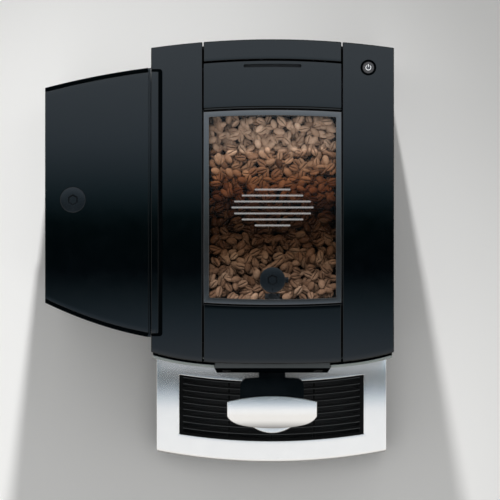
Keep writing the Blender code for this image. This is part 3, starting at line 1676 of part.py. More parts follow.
def grounds_container():
    base = WALL_BASE + BASIN_WALL + GAP
    top = TRAY_TOP - GROUNDS_SIDE_GAP
    half = TONGUE_WIDTH / 2 - BASIN_WALL - GROUNDS_SIDE_GAP
    back = TONGUE_BACK - BASIN_WALL - GROUNDS_SIDE_GAP
    container = place(
        "grounds_container",
        box((CENTRE - half, CENTRE + half), (GROUNDS_FRONT, back), (base, top)),
        "slate_matte",
    )
    cut(container, box(
        (CENTRE - half + GROUNDS_WALL, CENTRE + half - GROUNDS_WALL),
        (GROUNDS_FRONT + GROUNDS_WALL, back - GROUNDS_WALL),
        (base + GROUNDS_WALL, top + OVERRUN),
    ))


# Water tank

TANK_RIGHT = BODY_LEFT - GAP
TANK_PIN_X = BODY_LEFT - 2 * GAP - PIN_RADIUS
TANK_PIN_Z = HEIGHT - PIN_RADIUS


def tank_plan(left, right, inset, bottom, top, rows=1):
    """The tank's four-sided plan, drawn in along its front and back."""
    return slab(
        (left, right),
        shifted(tank_back_edge, -inset),
        shifted(tank_front_edge, inset),
        bottom,
        top,
        6,
        rows,
    )


def tank_dock():
    dock = place(
        "tank_dock",
        tank_plan(LEFT + DOCK_INSET, TANK_RIGHT, DOCK_INSET, WALL_BASE, level(DOCK_TOP)),
        "slate_gloss",
    )
    cut(dock, tank_plan(
        LEFT + DOCK_INSET + DOCK_WALL,
        TANK_RIGHT - DOCK_WALL,
        DOCK_INSET + DOCK_WALL,
        WALL_BASE - OVERRUN,
        level(DOCK_TOP - DOCK_WALL),
    ))
    spigot = rod(
        (VALVE_X, VALVE_Y, DOCK_TOP - DOCK_WALL / 2),
        (VALVE_X, VALVE_Y, DOCK_TOP + SPIGOT_HEIGHT),
        SPIGOT_RADIUS,
        sides=SMALL_SIDES,
    )
    join(dock, spigot)


def tank_shell():
    base = DOCK_TOP + GAP
    seat = TANK_LID_BASE - GAP
    shell = place("tank_shell", tank_plan(LEFT, TANK_RIGHT, 0, base, crown, 6), "clear", (LEFT, 0, base))
    shapes = [
        tank_plan(LEFT - OVERRUN, TANK_RIGHT + OVERRUN, TANK_RIM, seat, level(HEIGHT + OVERRUN)),
        tank_plan(
            LEFT + TANK_WALL,
            TANK_RIGHT - TANK_WALL,
            TANK_RIM + TANK_GROOVE + TANK_LEDGE,
            base + TANK_FLOOR,
            level(seat + OVERRUN),
        ),
        rod(
            (VALVE_X, VALVE_Y, base - OVERRUN),
            (VALVE_X, VALVE_Y, base + TANK_FLOOR + OVERRUN),
            VALVE_STEM_RADIUS + GAP,
            sides=SMALL_SIDES,
        ),
    ]
    for shape in shapes:
        cut(shell, shape)
    catch = box(
        (LEFT + TANK_WALL / 2, LEFT + TANK_WALL + CATCH_REACH),
        around(TANK_LOCK_Y, CATCH_WIDTH),
        (seat - CATCH_HEIGHT, seat),
    )
    join(shell, catch)


def tank_lid():
    pivot = (TANK_PIN_X, TOP_MIDDLE, TANK_PIN_Z)
    right = TANK_PIN_X - PIN_RADIUS - GAP
    lid = place(
        "tank_lid",
        tank_plan(LEFT, right, TANK_RIM + TANK_GROOVE, TANK_LID_BASE, crown, 6),
        "slate_gloss",
        pivot,
    )
    x = TANK_LOCK_X
    y = TANK_LOCK_Y
    bore = lock_bore(x, y, crown(y), TANK_LID_BASE)
    cut(lid, bore)
    drop = crown(y) - TANK_LID_BASE + TANK_CAM_DROP
    lock("tank_lock", x, y, crown(y), drop, TANK_CAM_REACH, math.pi / 2, "slate_matte")


def tank_hinge_strip():
    """The strip let into the body, with the pin of the tank lid's hinge along its left edge."""
    left = TANK_PIN_X + PIN_RADIUS / 2
    right = TANK_PIN_X + PIN_RADIUS + GAP + STRIP_WIDTH
    base = TANK_LID_BASE
    y_span = (STRIP_FRONT, STRIP_FRONT + STRIP_LENGTH)

    def cut_back(x):
        inside = max(0, x - (right - STRIP_CORNER))
        return STRIP_CORNER - math.sqrt(max(0, STRIP_CORNER**2 - inside**2))

    strip = slab(
        (left, right),
        lambda x: y_span[1] - cut_back(x),
        lambda x: y_span[0] + cut_back(x),
        base,
        crown,
        12,
        6,
    )
    piece = place("tank_hinge_strip", strip, "slate_gloss")
    pin_x = around(TANK_PIN_X, 2 * PIN_RADIUS)
    low = max(tank_front_edge(x) for x in pin_x) + TANK_RIM + GAP
    high = min(tank_back_edge(x) for x in pin_x) - TANK_RIM - GAP
    join(piece, rod((TANK_PIN_X, low, TANK_PIN_Z), (TANK_PIN_X, high, TANK_PIN_Z), PIN_RADIUS, sides=SMALL_SIDES))


def tank_valve():
    floor = DOCK_TOP + GAP + TANK_FLOOR
    foot = DOCK_TOP + SPIGOT_HEIGHT + GAP
    valve = turned(
        [
            (0, foot),
            (VALVE_STEM_RADIUS, foot),
            (VALVE_STEM_RADIUS, floor + GAP),
            (VALVE_CAP_RADIUS, floor + GAP),
            (VALVE_CAP_RADIUS, floor + GAP + VALVE_CAP_HEIGHT),
            (0, floor + GAP + VALVE_CAP_HEIGHT),
        ],
        (VALVE_X, VALVE_Y),
        sides=SMALL_SIDES,
    )
    place("tank_valve", valve, "white_plastic", (VALVE_X, VALVE_Y, floor))


def main():
    for leftover in list(bpy.data.objects):
        bpy.data.objects.remove(leftover, do_unlink=True)
    base_plate()
    rubber_feet()
    side_panels()
    rear_cover()
    front_panel()
    front_trim()
    top_strips()
    top_fixed_pieces()
    hinge_bar()
    top_hinge_pin()
    powder_flap()
    powder_funnel()
    bean_lid()
    bean_lock()
    lid_seal()
    bean_hopper()
    bean_load()
    grinder()
    grinder_motor()
    chassis()
    brew_unit()
    thermoblock()
    pump()
    control_board()
    mains_inlet()
    display()
    power_switch()
    spout_carriage()
    spout_guide()
    spout_cover()
    spout_lip()
    spout_nozzles()
    tray_frame()
    tray_basin()
    tray_grille()
    grounds_container()
    tank_dock()
    tank_shell()
    tank_lid()
    tank_hinge_strip()
    tank_valve()


main()
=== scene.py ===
import math
import random

import bmesh
import bpy
from mathutils import Matrix, Vector


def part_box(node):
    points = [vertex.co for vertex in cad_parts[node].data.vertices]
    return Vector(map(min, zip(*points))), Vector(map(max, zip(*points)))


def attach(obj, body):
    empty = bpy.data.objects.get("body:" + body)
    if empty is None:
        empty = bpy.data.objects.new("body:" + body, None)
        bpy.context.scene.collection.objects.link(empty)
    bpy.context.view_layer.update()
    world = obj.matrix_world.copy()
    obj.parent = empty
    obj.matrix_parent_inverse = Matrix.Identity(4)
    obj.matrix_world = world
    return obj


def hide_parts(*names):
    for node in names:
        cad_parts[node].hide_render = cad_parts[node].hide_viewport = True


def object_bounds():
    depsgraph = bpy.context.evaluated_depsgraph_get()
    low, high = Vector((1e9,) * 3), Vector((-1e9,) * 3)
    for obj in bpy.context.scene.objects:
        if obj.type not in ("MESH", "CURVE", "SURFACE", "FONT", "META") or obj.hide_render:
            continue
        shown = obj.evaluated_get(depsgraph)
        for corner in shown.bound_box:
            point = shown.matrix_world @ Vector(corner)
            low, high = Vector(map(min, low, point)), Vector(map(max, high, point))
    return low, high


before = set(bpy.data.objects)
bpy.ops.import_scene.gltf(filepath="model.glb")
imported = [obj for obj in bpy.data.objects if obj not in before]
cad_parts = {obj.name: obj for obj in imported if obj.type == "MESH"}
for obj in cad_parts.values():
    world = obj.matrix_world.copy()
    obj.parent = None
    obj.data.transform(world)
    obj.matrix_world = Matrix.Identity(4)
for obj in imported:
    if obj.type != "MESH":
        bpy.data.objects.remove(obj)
cad_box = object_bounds()

MM = 0.001
FULL_TURN = 2 * math.pi
SHARP_TURN = 0.6  # in radians: rounding takes the edges whose faces turn by more than this
EVEN_TURN = 0.002  # in radians: faces that turn by less than this become one
SAME_SPOT = 0.001 * MM  # corners that are closer than this become one

# The machine's main places and sizes, in metres
BODY_LEFT, BODY_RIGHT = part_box("front_trim")[0].x - 1.5 * MM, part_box("top_strip_right")[1].x
CENTRE = (BODY_LEFT + BODY_RIGHT) / 2
BODY_WIDTH = BODY_RIGHT - BODY_LEFT
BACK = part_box("top_rear_piece")[1].y
TOP_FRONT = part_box("top_front_piece")[0].y
TRAY_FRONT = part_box("tray_frame")[0].y
TOP = 0.4700
TOP_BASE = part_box("top_rear_piece")[0].z
TOP_MIDDLE = (BACK + TOP_FRONT) / 2
STRIP_LEFT, STRIP_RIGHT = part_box("top_rear_piece")[0].x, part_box("top_rear_piece")[1].x
STRIP_WIDTH = STRIP_RIGHT - STRIP_LEFT
LOCK_Y, GRIP_Y = -0.0257, 0.0519
LOCK_BORE = 14.1 * MM
TANK_LOCK = (-0.1570, 0.0601)
TANK_RIM_BASE = 0.4640
HINGE_LEFT, HINGE_PIN_X = -0.0731, -0.0748
BEANS_FRONT, BEANS_BACK = -0.0465, 0.1495
BEANS_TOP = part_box("bean_load")[1].z + 2.6 * MM
HEAP_SHADE_DEPTH = 8 * MM  # how far down the painted shade makes the beans darker
CROWN_DROP = 3 * MM  # how far the top cover falls to its front and back


# Curved edges that several pieces follow


def across(x, width):
    """The share of the way from the middle to the side, from -1 to 1."""
    return (x - CENTRE) / (width / 2)


def swept(middle, sweep, width, power=2):
    """An edge that bends back by sweep, or forward if it is negative, from the middle to the ends of a width."""
    return lambda x: middle + sweep * abs(across(x, width)) ** power


def moved(edge, distance):
    """The same edge or surface, further back or higher."""
    return lambda *place: edge(*place) + distance


def flat(height):
    """A straight edge or a level surface."""
    return lambda *place: height


def tank_edge(outer, inner, bulge):
    """A bulging edge from the tank's outer side to the machine's body."""
    tank_left = cad_box[0].x

    def edge(x):
        share = (x - tank_left) / (BODY_LEFT - tank_left)
        return outer + (inner - outer) * share + 4 * bulge * share * (1 - share)

    return edge


back_edge = swept(BACK, -9.2 * MM, BODY_WIDTH)
front_edge = swept(TOP_FRONT, 11.2 * MM, BODY_WIDTH)
cover_front = swept(TOP_FRONT - 0.8 * MM, 12.4 * MM, BODY_WIDTH, power=3.2)
lid_back_edge = swept(0.1580, -2.3 * MM, STRIP_WIDTH)
lid_front_edge = swept(-0.0523, 2.3 * MM, STRIP_WIDTH)
hinge_curve = moved(lid_back_edge, -0.6 * MM)  # the lip and the front of the powder flap follow it
tank_back_edge = tank_edge(outer=0.1795, inner=0.2013, bulge=2.0 * MM)
tank_front_edge = tank_edge(outer=-0.0497, inner=-0.0870, bulge=-4.3 * MM)


def crown(x, y):
    """The height of the top cover, highest halfway between its front and back."""
    return TOP - CROWN_DROP * ((y - TOP_MIDDLE) / ((BACK - TOP_FRONT) / 2)) ** 2


# Materials


class Socket:
    """A node's output, so that shader maths reads as Python."""

    def __init__(self, nodes, output):
        self.nodes = nodes
        self.output = output

    def maths(self, operation, first, second):
        return self.nodes.node("Math", {"operation": operation}, {0: first, 1: second})

    def __add__(self, other):
        return self.maths("ADD", self, other)

    def __sub__(self, other):
        return self.maths("SUBTRACT", self, other)

    def __rsub__(self, other):
        return self.maths("SUBTRACT", other, self)

    def __mul__(self, other):
        return self.maths("MULTIPLY", self, other)

    def __truediv__(self, other):
        return self.maths("DIVIDE", self, other)

    __radd__ = __add__
    __rmul__ = __mul__


class Nodes:
    """A node tree under construction."""

    def __init__(self, tree):
        self.tree = tree

    def node(self, kind, settings=None, values=None, output=0):
        node = self.tree.nodes.new("ShaderNode" + kind)
        for key, value in (settings or {}).items():
            if key == "stops":
                self.stops(node.color_ramp, value)
            else:
                setattr(node, key, value)
        for key, value in (values or {}).items():
            self.join(value, node.inputs[key])
        return Socket(self, node.outputs[output])

    def stops(self, ramp, stops):
        while len(ramp.elements) < len(stops):
            ramp.elements.new(1)
        for element, (position, colour) in zip(ramp.elements, stops):
            element.position = position
            element.color = (*colour, 1)

    def join(self, value, socket):
        if isinstance(value, Socket):
            self.tree.links.new(value.output, socket)
        elif isinstance(value, tuple) and len(value) == 3 and socket.type == "RGBA":
            socket.default_value = (*value, 1)
        else:
            socket.default_value = value

    def ray(self, kind):
        return self.node("LightPath", output=f"Is {kind} Ray")

    def ramp(self, factor, *stops):
        return self.node("ValToRGB", {"stops": stops}, {"Fac": factor})

    def mix(self, factor, first, second, blend="MIX"):
        return self.node("Mix", {"data_type": "RGBA", "blend_type": blend}, {0: factor, 6: first, 7: second}, 2)


class Finish(Nodes):
    """A material under construction, patterned in the machine's own coordinates."""

    def __init__(self, name, **values):
        self.material = bpy.data.materials.new(name)
        self.material.use_nodes = True
        super().__init__(self.material.node_tree)
        self.shader = self.tree.nodes["Principled BSDF"]
        self.place = self.node("TexCoord", output="Object")
        self.paint({key.replace("_", " ").title().replace("Ior", "IOR"): value for key, value in values.items()})

    def paint(self, values):
        for key, value in values.items():
            self.join(value, self.shader.inputs[key])

    def along(self, axis):
        return self.node("SeparateXYZ", None, {0: self.place}, axis)

    def stretched(self, x, y, z):
        return self.node("Mapping", None, {"Vector": self.place, "Scale": (x, y, z)})

    def noise(self, scale, detail, place=None):
        return self.node("TexNoise", None, {"Vector": place or self.place, "Scale": scale, "Detail": detail})

    def attribute(self, name):
        return self.node("Attribute", {"attribute_name": name}, output="Fac")

    def bump(self, height, distance):
        self.paint({"Normal": self.node("Bump", None, {"Height": height, "Distance": distance})})

    def show(self, shader):
        self.join(shader, self.tree.nodes["Material Output"].inputs["Surface"])

    def lets_lamps_through(self, tint):
        """Mixes in a clear film for shadow and diffuse rays, so that light reaches what lies behind."""
        path = self.ray("Shadow") + self.ray("Diffuse")
        film = self.node("BsdfTransparent", None, {"Color": tint})
        shader = Socket(self, self.shader.outputs[0])
        self.show(self.node("MixShader", None, {0: path, 1: shader, 2: film}))


def moulded(name, dark, light, roughness, grain, depth, **values):
    """Moulded plastic: a fine grain, faint clouding of the colour and an uneven sheen."""
    finish = Finish(name, **values)
    clouds = finish.noise(22, 3)
    finish.paint({
        "Base Color": finish.mix(clouds, dark, light),
        "Roughness": roughness + 0.08 * finish.noise(60, 3),
    })
    finish.bump(finish.noise(grain, 2), depth)
    return finish.material


def brushed(name, colour, roughness, lines, depth):
    """Metal brushed along the machine's width."""
    finish = Finish(name, metallic=1.0)
    streaks = finish.noise(1, 3, finish.stretched(8, lines, lines))
    finish.paint({
        "Base Color": finish.mix(streaks, tuple(0.93 * part for part in colour), colour),
        "Roughness": roughness + 0.12 * streaks,
    })
    finish.bump(streaks, depth)
    return finish.material


def cast(name, colour):
    """Rough cast alloy."""
    finish = Finish(name, metallic=1.0)
    grain = finish.noise(900, 3)
    finish.paint({
        "Base Color": finish.mix(grain, tuple(0.7 * part for part in colour), colour),
        "Roughness": 0.42 + 0.2 * grain,
    })
    finish.bump(grain, 60e-6)
    return finish.material


def clear(name, colour, tint, roughness, ior=1.46):
    """Clear plastic with faint marks of handling in its gloss."""
    finish = Finish(name, base_color=colour, transmission_weight=1.0, ior=ior)
    finish.paint({"Roughness": roughness + 0.03 * finish.noise(45, 3)})
    finish.lets_lamps_through(tint)
    return finish.material


def roasted():
    """Coffee beans: each has its own tone, a mottled skin and a cleft darkened by painted shade.

    Painted light and shade change their colour from the front to the back of the hopper, with a painted pale sheen at
    the back, and painted shade makes them darker deep in the heap.
    """
    finish = Finish("roasted_bean", specular_ior_level=0.06)
    tone = finish.attribute("tone")
    cleft = finish.attribute("cleft")
    mottle = finish.noise(420, 4)
    skin = finish.ramp(
        0.75 * tone + 0.25 * mottle,
        (0.05, (0.070, 0.026, 0.012)),
        (0.45, (0.300, 0.140, 0.070)),
        (0.95, (0.700, 0.420, 0.250)),
    )
    share = (finish.along("Y") - BEANS_FRONT) / (BEANS_BACK - BEANS_FRONT)
    # painted light and shade: the colour is lightened or darkened by where a bean lies from the front to the back
    light = finish.ramp(
        share,
        (0.00, (0.44, 0.44, 0.45)),
        (0.14, (0.215, 0.215, 0.215)),
        (0.21, (0.25, 0.25, 0.24)),
        (0.27, (0.14, 0.13, 0.12)),
        (0.34, (0.08, 0.07, 0.06)),
        (0.40, (0.05, 0.04, 0.03)),
        (0.53, (0.05, 0.03, 0.02)),
        (0.60, (0.20, 0.12, 0.08)),
        (0.66, (0.36, 0.27, 0.20)),
        (0.73, (0.40, 0.36, 0.32)),
        (0.80, (0.38, 0.36, 0.34)),
        (0.85, (0.98, 0.98, 0.98)),
    )
    # painted sheen: a pale colour mixed in towards the back stands for a reflection and for light on the beans
    sheen = finish.ramp(
        share,
        (0.02, (0.22, 0.22, 0.22)),
        (0.25, (0.00, 0.00, 0.00)),
        (0.66, (0.00, 0.00, 0.00)),
        (0.80, (0.15, 0.15, 0.15)),
        (0.85, (0.95, 0.95, 0.95)),
        (0.92, (1.00, 1.00, 1.00)),
    )
    # painted shade: beans lower in the heap are darker, and the tops of the highest are lightened as painted light
    painted_heap_shade = finish.ramp(
        (finish.along("Z") - BEANS_TOP + HEAP_SHADE_DEPTH) / HEAP_SHADE_DEPTH,
        (0.05, (0.14, 0.14, 0.14)),
        (0.50, (0.72, 0.72, 0.72)),
        (1.00, (1.38, 1.38, 1.38)),
    )
    # painted shade: the cleft's near-black colour stands for the shade in the bean's crease
    shaded = finish.mix(1.0, finish.mix(cleft, skin, (0.030, 0.012, 0.006)), light, "MULTIPLY")
    # the colour of the painted sheen, lighter for lighter beans
    pale = finish.mix(tone, (0.30, 0.18, 0.11), (1.0, 0.74, 0.56))
    # less painted sheen in the clefts, as painted shade
    surface = finish.mix(sheen * (0.45 + 0.5 * mottle) * (1 - 0.7 * cleft), shaded, pale)
    finish.paint({
        "Base Color": finish.mix(1.0, surface, painted_heap_shade, "MULTIPLY"),
        "Roughness": 0.30 + 0.3 * mottle,
    })
    finish.bump(finish.noise(1300, 2), 90e-6)
    return finish.material


def floor_paint():
    """The pale floor, which looks lighter to the camera than to the machine."""
    finish = Finish("floor_paint", roughness=0.9)
    mottle = finish.noise(3, 2)
    seen = finish.ray("Camera")
    finish.paint({
        "Base Color": finish.mix(
            seen, finish.mix(mottle, (0.60, 0.60, 0.59), (0.62, 0.62, 0.61)),
            finish.mix(mottle, (0.970, 0.967, 0.955), (0.985, 0.982, 0.970)),
        ),
    })
    finish.bump(finish.noise(400, 2), 20e-6)
    return finish.material


# Plastics and rubber
SLATE = moulded("slate_gloss", (0.0003, 0.0009, 0.0011), (0.0006, 0.0013, 0.0016), 0.03, 700, 3e-6)
MATTE = moulded("slate_matte", (0.010, 0.011, 0.012), (0.014, 0.015, 0.017), 0.42, 2600, 25e-6)
SATIN = moulded("satin_black", (0.0003, 0.0010, 0.0014), (0.0006, 0.0014, 0.0018), 0.10, 1200, 3e-6)
BLACK = moulded("black_gloss", (0.0010, 0.0011, 0.0013), (0.0020, 0.0021, 0.0024), 0.08, 500, 2e-6)
FACE = moulded(
    "display_face", (0.0006, 0.0012, 0.0016), (0.0010, 0.0016, 0.0020), 0.70, 800, 4e-6, specular_ior_level=0.0
)
SCREEN = moulded(
    "screen_glass", (0.0015, 0.0028, 0.0040), (0.0020, 0.0034, 0.0048), 0.50, 800, 1e-6, specular_ior_level=0.0
)
STRIP = moulded("grey_strip", (0.066, 0.074, 0.077), (0.076, 0.084, 0.087), 0.45, 1500, 4e-6, specular_ior_level=0.2)
DISC = moulded("disc_plastic", (0.0022, 0.0036, 0.0050), (0.0034, 0.0048, 0.0064), 0.14, 1600, 5e-6)
GRID = moulded(
    "grid_black", (0.0008, 0.0012, 0.0014), (0.0012, 0.0016, 0.0018), 0.45, 1500, 6e-6, specular_ior_level=0.12
)
# a light grey for the grille's ridges: a painted highlight on the bars' front edges
RIDGE_HIGHLIGHT = moulded("grid_ridge_highlight", (0.055, 0.060, 0.062), (0.075, 0.080, 0.082), 0.40, 1500, 4e-6)
WHITE = moulded("white_plastic", (0.52, 0.52, 0.49), (0.62, 0.62, 0.60), 0.40, 1800, 12e-6)
LIT = moulded("lit_symbol", (0.80, 0.82, 0.84), (0.88, 0.90, 0.92), 0.30, 900, 2e-6)
RUBBER = moulded("foot_rubber", (0.010, 0.010, 0.010), (0.018, 0.018, 0.018), 0.70, 3000, 50e-6)
BOARD = moulded("board_green", (0.010, 0.070, 0.028), (0.020, 0.120, 0.050), 0.30, 900, 20e-6)

# Metals and metallic paints
GREY = moulded("grey_frame", (0.140, 0.136, 0.134), (0.152, 0.148, 0.146), 0.08, 1500, 4e-6, metallic=0.90)
SILVER = moulded("silver", (0.96, 0.935, 0.905), (0.99, 0.965, 0.935), 0.13, 1100, 1.5e-6, metallic=0.80)
OLIVE = moulded("warm_silver", (0.36, 0.37, 0.335), (0.40, 0.41, 0.375), 0.22, 1100, 1.5e-6, metallic=0.70)
SHEET = brushed("sheet_steel", (0.56, 0.56, 0.57), 0.30, 500, 6e-6)
PIN = brushed("pin_steel", (0.62, 0.62, 0.62), 0.16, 2200, 2e-6)
DARK_STEEL = brushed("dark_steel", (0.105, 0.105, 0.11), 0.22, 900, 2e-6)
CAST = cast("cast_alloy", (0.46, 0.46, 0.47))

# Clear plastics, and the beans
WINDOW = clear("smoked_window", (0.98, 0.98, 0.98), (0.96, 0.96, 0.96), 0.01, ior=1.22)
FROSTED = moulded("frosted_window", (0.80, 0.80, 0.80), (0.90, 0.90, 0.90), 0.10, 900, 4e-6, alpha=0.16)
TANK = clear("clear_tank", (0.06, 0.07, 0.08), (0.05, 0.06, 0.07), 0.02)
BEANS = roasted()

# The finish of each CAD node that shows as it is
NODE_FINISHES = {
    SLATE: "side_panel_left side_panel_right front_panel tank_dock",
    MATTE: "base_plate rear_cover powder_funnel mains_inlet tray_basin grounds_container bean_hopper",
    FACE: "hinge_bar",
    SCREEN: "display_screen",
    SATIN: "button_left_1 button_left_2 button_right_1 button_right_2",
    WHITE: "brew_housing brew_piston tank_valve",
    RUBBER: "foot_front_left foot_front_right foot_back_left foot_back_right lid_seal",
    BOARD: "control_board",
    SHEET: "chassis grinder_motor brew_motor pump spout_guide",
    PIN: "lower_burr brew_screw",
    CAST: "grinder_housing upper_burr thermoblock",
    TANK: "tank_shell",
}
for finish_material, names in NODE_FINISHES.items():
    for name in names.split():
        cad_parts[name].material_slots[0].material = finish_material


# Shapes


def new_vertices(made):
    return [part for part in made["geom"] if isinstance(part, bmesh.types.BMVert)]


def outline(x_span, back, front, columns, rows, inset=0):
    """Points round a plan with two curved edges, from the front left corner, drawn in by inset."""
    left, right = x_span[0] + inset, x_span[1] - inset
    points = []
    for step in range(columns):
        x = left + (right - left) * step / columns
        points.append((x, front(x) + inset))
    low, high = front(right) + inset, back(right) - inset
    points += [(right, low + (high - low) * step / rows) for step in range(rows)]
    for step in range(columns):
        x = right + (left - right) * step / columns
        points.append((x, back(x) - inset))
    low, high = front(left) + inset, back(left) - inset
    points += [(left, high + (low - high) * step / rows) for step in range(rows)]
    return points


def raise_up(shape, top):
    """Extrudes a flat sheet into a solid whose upper side follows a surface."""
    made = bmesh.ops.extrude_face_region(shape, geom=shape.faces[:])
    for vert in new_vertices(made):
        vert.co.z = top(vert.co.x, vert.co.y)
    bmesh.ops.recalc_face_normals(shape, faces=shape.faces)
    return shape


def plate(x_span, back, front, bottom, top, columns, rows):
    """A solid between two curved edges."""
    shape = bmesh.new()
    bmesh.ops.create_grid(shape, x_segments=columns, y_segments=rows, size=0.5)
    for vert in shape.verts:
        x = x_span[0] + (x_span[1] - x_span[0]) * (vert.co.x + 0.5)
        vert.co = (x, front(x) + (back(x) - front(x)) * (vert.co.y + 0.5), bottom)
    return raise_up(shape, top)


def ring_plate(outlines, bottom, top):
    """A solid frame between an outer and an inner outline, through any between them."""
    shape = bmesh.new()
    verts = [shape.verts.new((x, y, bottom)) for x, y in outlines[0]]
    edges = [shape.edges.new(pair) for pair in zip(verts, verts[1:] + verts[:1])]
    for points in outlines[1:]:
        made = bmesh.ops.extrude_edge_only(shape, edges=edges)
        fresh = set(new_vertices(made))
        edges = [
            part for part in made["geom"] if isinstance(part, bmesh.types.BMEdge) and fresh.issuperset(part.verts)
        ]
        verts = [
            next(edge.other_vert(vert) for edge in vert.link_edges if edge.other_vert(vert) in fresh) for vert in verts
        ]
        for vert, (x, y) in zip(verts, points):
            vert.co = (x, y, bottom)
    return raise_up(shape, top)


def between(outer, inner, steps):
    """Outlines that lead from one to another."""
    return [
        [tuple(a + (b - a) * step / steps for a, b in zip(*pair)) for pair in zip(outer, inner)]
        for step in range(steps + 1)
    ]


def upright(edge):
    return abs((edge.verts[0].co - edge.verts[1].co).normalized().z) > 0.9


def rounded(shape, width, segments=2, chosen=None):
    """Rounds the sharp edges, or those of them that are chosen."""
    edges = [
        edge for edge in shape.edges
        if len(edge.link_faces) == 2 and edge.calc_face_angle() > SHARP_TURN and (chosen is None or chosen(edge))
    ]
    bmesh.ops.bevel(
        shape, geom=edges, offset=width, offset_type="OFFSET", segments=segments, profile=0.5,
        affect="EDGES", clamp_overlap=True, material=-1,
    )
    return shape


def block(x_span, y_span, z_span):
    """A box between the given limits."""
    shape = bmesh.new()
    spans = (x_span, y_span, z_span)
    bmesh.ops.create_cube(shape, size=1)
    bmesh.ops.scale(shape, vec=[high - low for low, high in spans], verts=shape.verts)
    bmesh.ops.translate(shape, vec=[(high + low) / 2 for low, high in spans], verts=shape.verts)
    return shape


def about(middle, size):
    """The limits of a length about its middle."""
    return (middle - size / 2, middle + size / 2)


def middle_of(node):
    low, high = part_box(node)
    return (low.x + high.x) / 2, (low.y + high.y) / 2


def cone(centre, z_span, low_radius, high_radius, sides):
    """An upright bar with flat sides that may widen upward."""
    shape = bmesh.new()
    low, high = z_span
    bmesh.ops.create_cone(
        shape, cap_ends=True, segments=sides, radius1=low_radius, radius2=high_radius, depth=high - low,
        matrix=Matrix.Translation((*centre, (low + high) / 2)),
    )
    return shape


def prism(centre, z_span, radius, sides):
    """An upright bar with flat sides, or with enough of them to look round."""
    return cone(centre, z_span, radius, radius, sides)


def lathe(profile, centre, steps=48):
    """A closed profile of radius and height spun about an upright axis."""
    shape = bmesh.new()
    verts = [shape.verts.new((radius, 0, height)) for radius, height in profile]
    edges = [shape.edges.new(pair) for pair in zip(verts, verts[1:])]
    if profile[0][0] > 0:
        edges.append(shape.edges.new((verts[-1], verts[0])))
    bmesh.ops.spin(
        shape, geom=verts + edges, cent=(0, 0, 0), axis=(0, 0, 1), angle=FULL_TURN, steps=steps, use_merge=True
    )
    bmesh.ops.remove_doubles(shape, verts=shape.verts, dist=SAME_SPOT)
    bmesh.ops.recalc_face_normals(shape, faces=shape.faces)
    bmesh.ops.translate(shape, vec=(*centre, 0), verts=shape.verts)
    return shape


def as_mesh(shape, name):
    mesh = bpy.data.meshes.new(name)
    shape.to_mesh(mesh)
    shape.free()
    return mesh


def placed(name, data):
    """An object in the scene that shows a mesh, light or camera."""
    holder = bpy.data.objects.new(name, data)
    bpy.context.scene.collection.objects.link(holder)
    return holder


def loose(shape):
    return placed("loose", as_mesh(shape, "loose"))


def carved(shape, *cutters):
    """The shape with the cutters taken out of it."""
    body = loose(shape)
    tools = [loose(cutter) for cutter in cutters]
    for tool in tools:
        modifier = body.modifiers.new("cut", "BOOLEAN")
        modifier.object = tool
        modifier.solver = "EXACT"
    seen = body.evaluated_get(bpy.context.evaluated_depsgraph_get())
    result = bmesh.new()
    result.from_mesh(seen.to_mesh())
    seen.to_mesh_clear()
    for holder in [body, *tools]:
        bpy.data.objects.remove(holder)
    return result


def together(*shapes):
    """One shape with all of these in it."""
    whole = bmesh.new()
    for shape in shapes:
        mesh = as_mesh(shape, "part")
        whole.from_mesh(mesh)
        bpy.data.meshes.remove(mesh)
    return whole


def finished(shape, name, body, slot, material, *nodes, sharp=32):
    """Makes a shape a named piece that rides on a body and may stand for CAD nodes."""
    mesh = as_mesh(shape, name)
    mesh.materials.append(material)
    mesh.shade_smooth()
    mesh.set_sharp_from_angle(angle=math.radians(sharp))
    piece = placed(name, mesh)
    piece.modifiers.new("even_shading", "WEIGHTED_NORMAL").keep_sharp = True
    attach(piece, body)
    if nodes:
        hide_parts(*nodes)
    return piece


def softened(node, name, body, slot, material, width):
    """A CAD solid again, with its edges rounded."""
    shape = bmesh.new()
    shape.from_mesh(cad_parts[node].data)
    bmesh.ops.remove_doubles(shape, verts=shape.verts, dist=SAME_SPOT)
    bmesh.ops.dissolve_limit(shape, angle_limit=EVEN_TURN, verts=shape.verts, edges=shape.edges)
    return finished(rounded(shape, width), name, body, slot, material, node)


# Top cover


def cover_piece(x_span, back, front, columns, rows):
    return rounded(plate(x_span, back, front, TOP_BASE, crown, columns, rows), 0.9 * MM, 3)


def cover_pieces():
    """The four fixed pieces of the top."""
    low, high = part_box("top_strip_right")
    switch = middle_of("power_ring")
    bore_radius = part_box("power_ring")[1].x - switch[0] + 0.7 * MM
    right = cover_piece((low.x, high.x), back_edge, cover_front, 10, 60)
    right = carved(right, prism(switch, (TOP_BASE - MM, TOP + MM), bore_radius, 48))
    finished(right, "right_cover", "machine", "slate_gloss", SLATE, "top_strip_right")

    low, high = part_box("top_strip_left")
    hinge_low, hinge_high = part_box("tank_hinge_strip")
    left = cover_piece((low.x, high.x), back_edge, cover_front, 10, 60)
    recess = block(
        (low.x - 5 * MM, hinge_high.x + 3.3 * MM), (hinge_low.y - 1.9 * MM, hinge_high.y + 1.6 * MM),
        (hinge_low.z - 0.3 * MM, TOP + 5 * MM),
    )
    rounded(recess, 3.4 * MM, 4, chosen=upright)
    finished(carved(left, recess), "left_cover", "machine", "slate_gloss", SLATE, "top_strip_left")

    span = (STRIP_LEFT, STRIP_RIGHT)
    rear_depth, seam = 21.2 * MM, 1.3 * MM
    rear = cover_piece(span, back_edge, moved(back_edge, -rear_depth), 24, 6)
    finished(rear, "rear_cover_piece", "machine", "slate_gloss", SLATE, "top_rear_piece")
    front = cover_piece(span, moved(lid_front_edge, -seam), cover_front, 24, 12)
    finished(front, "front_cover_piece", "machine", "slate_gloss", SLATE, "top_front_piece")


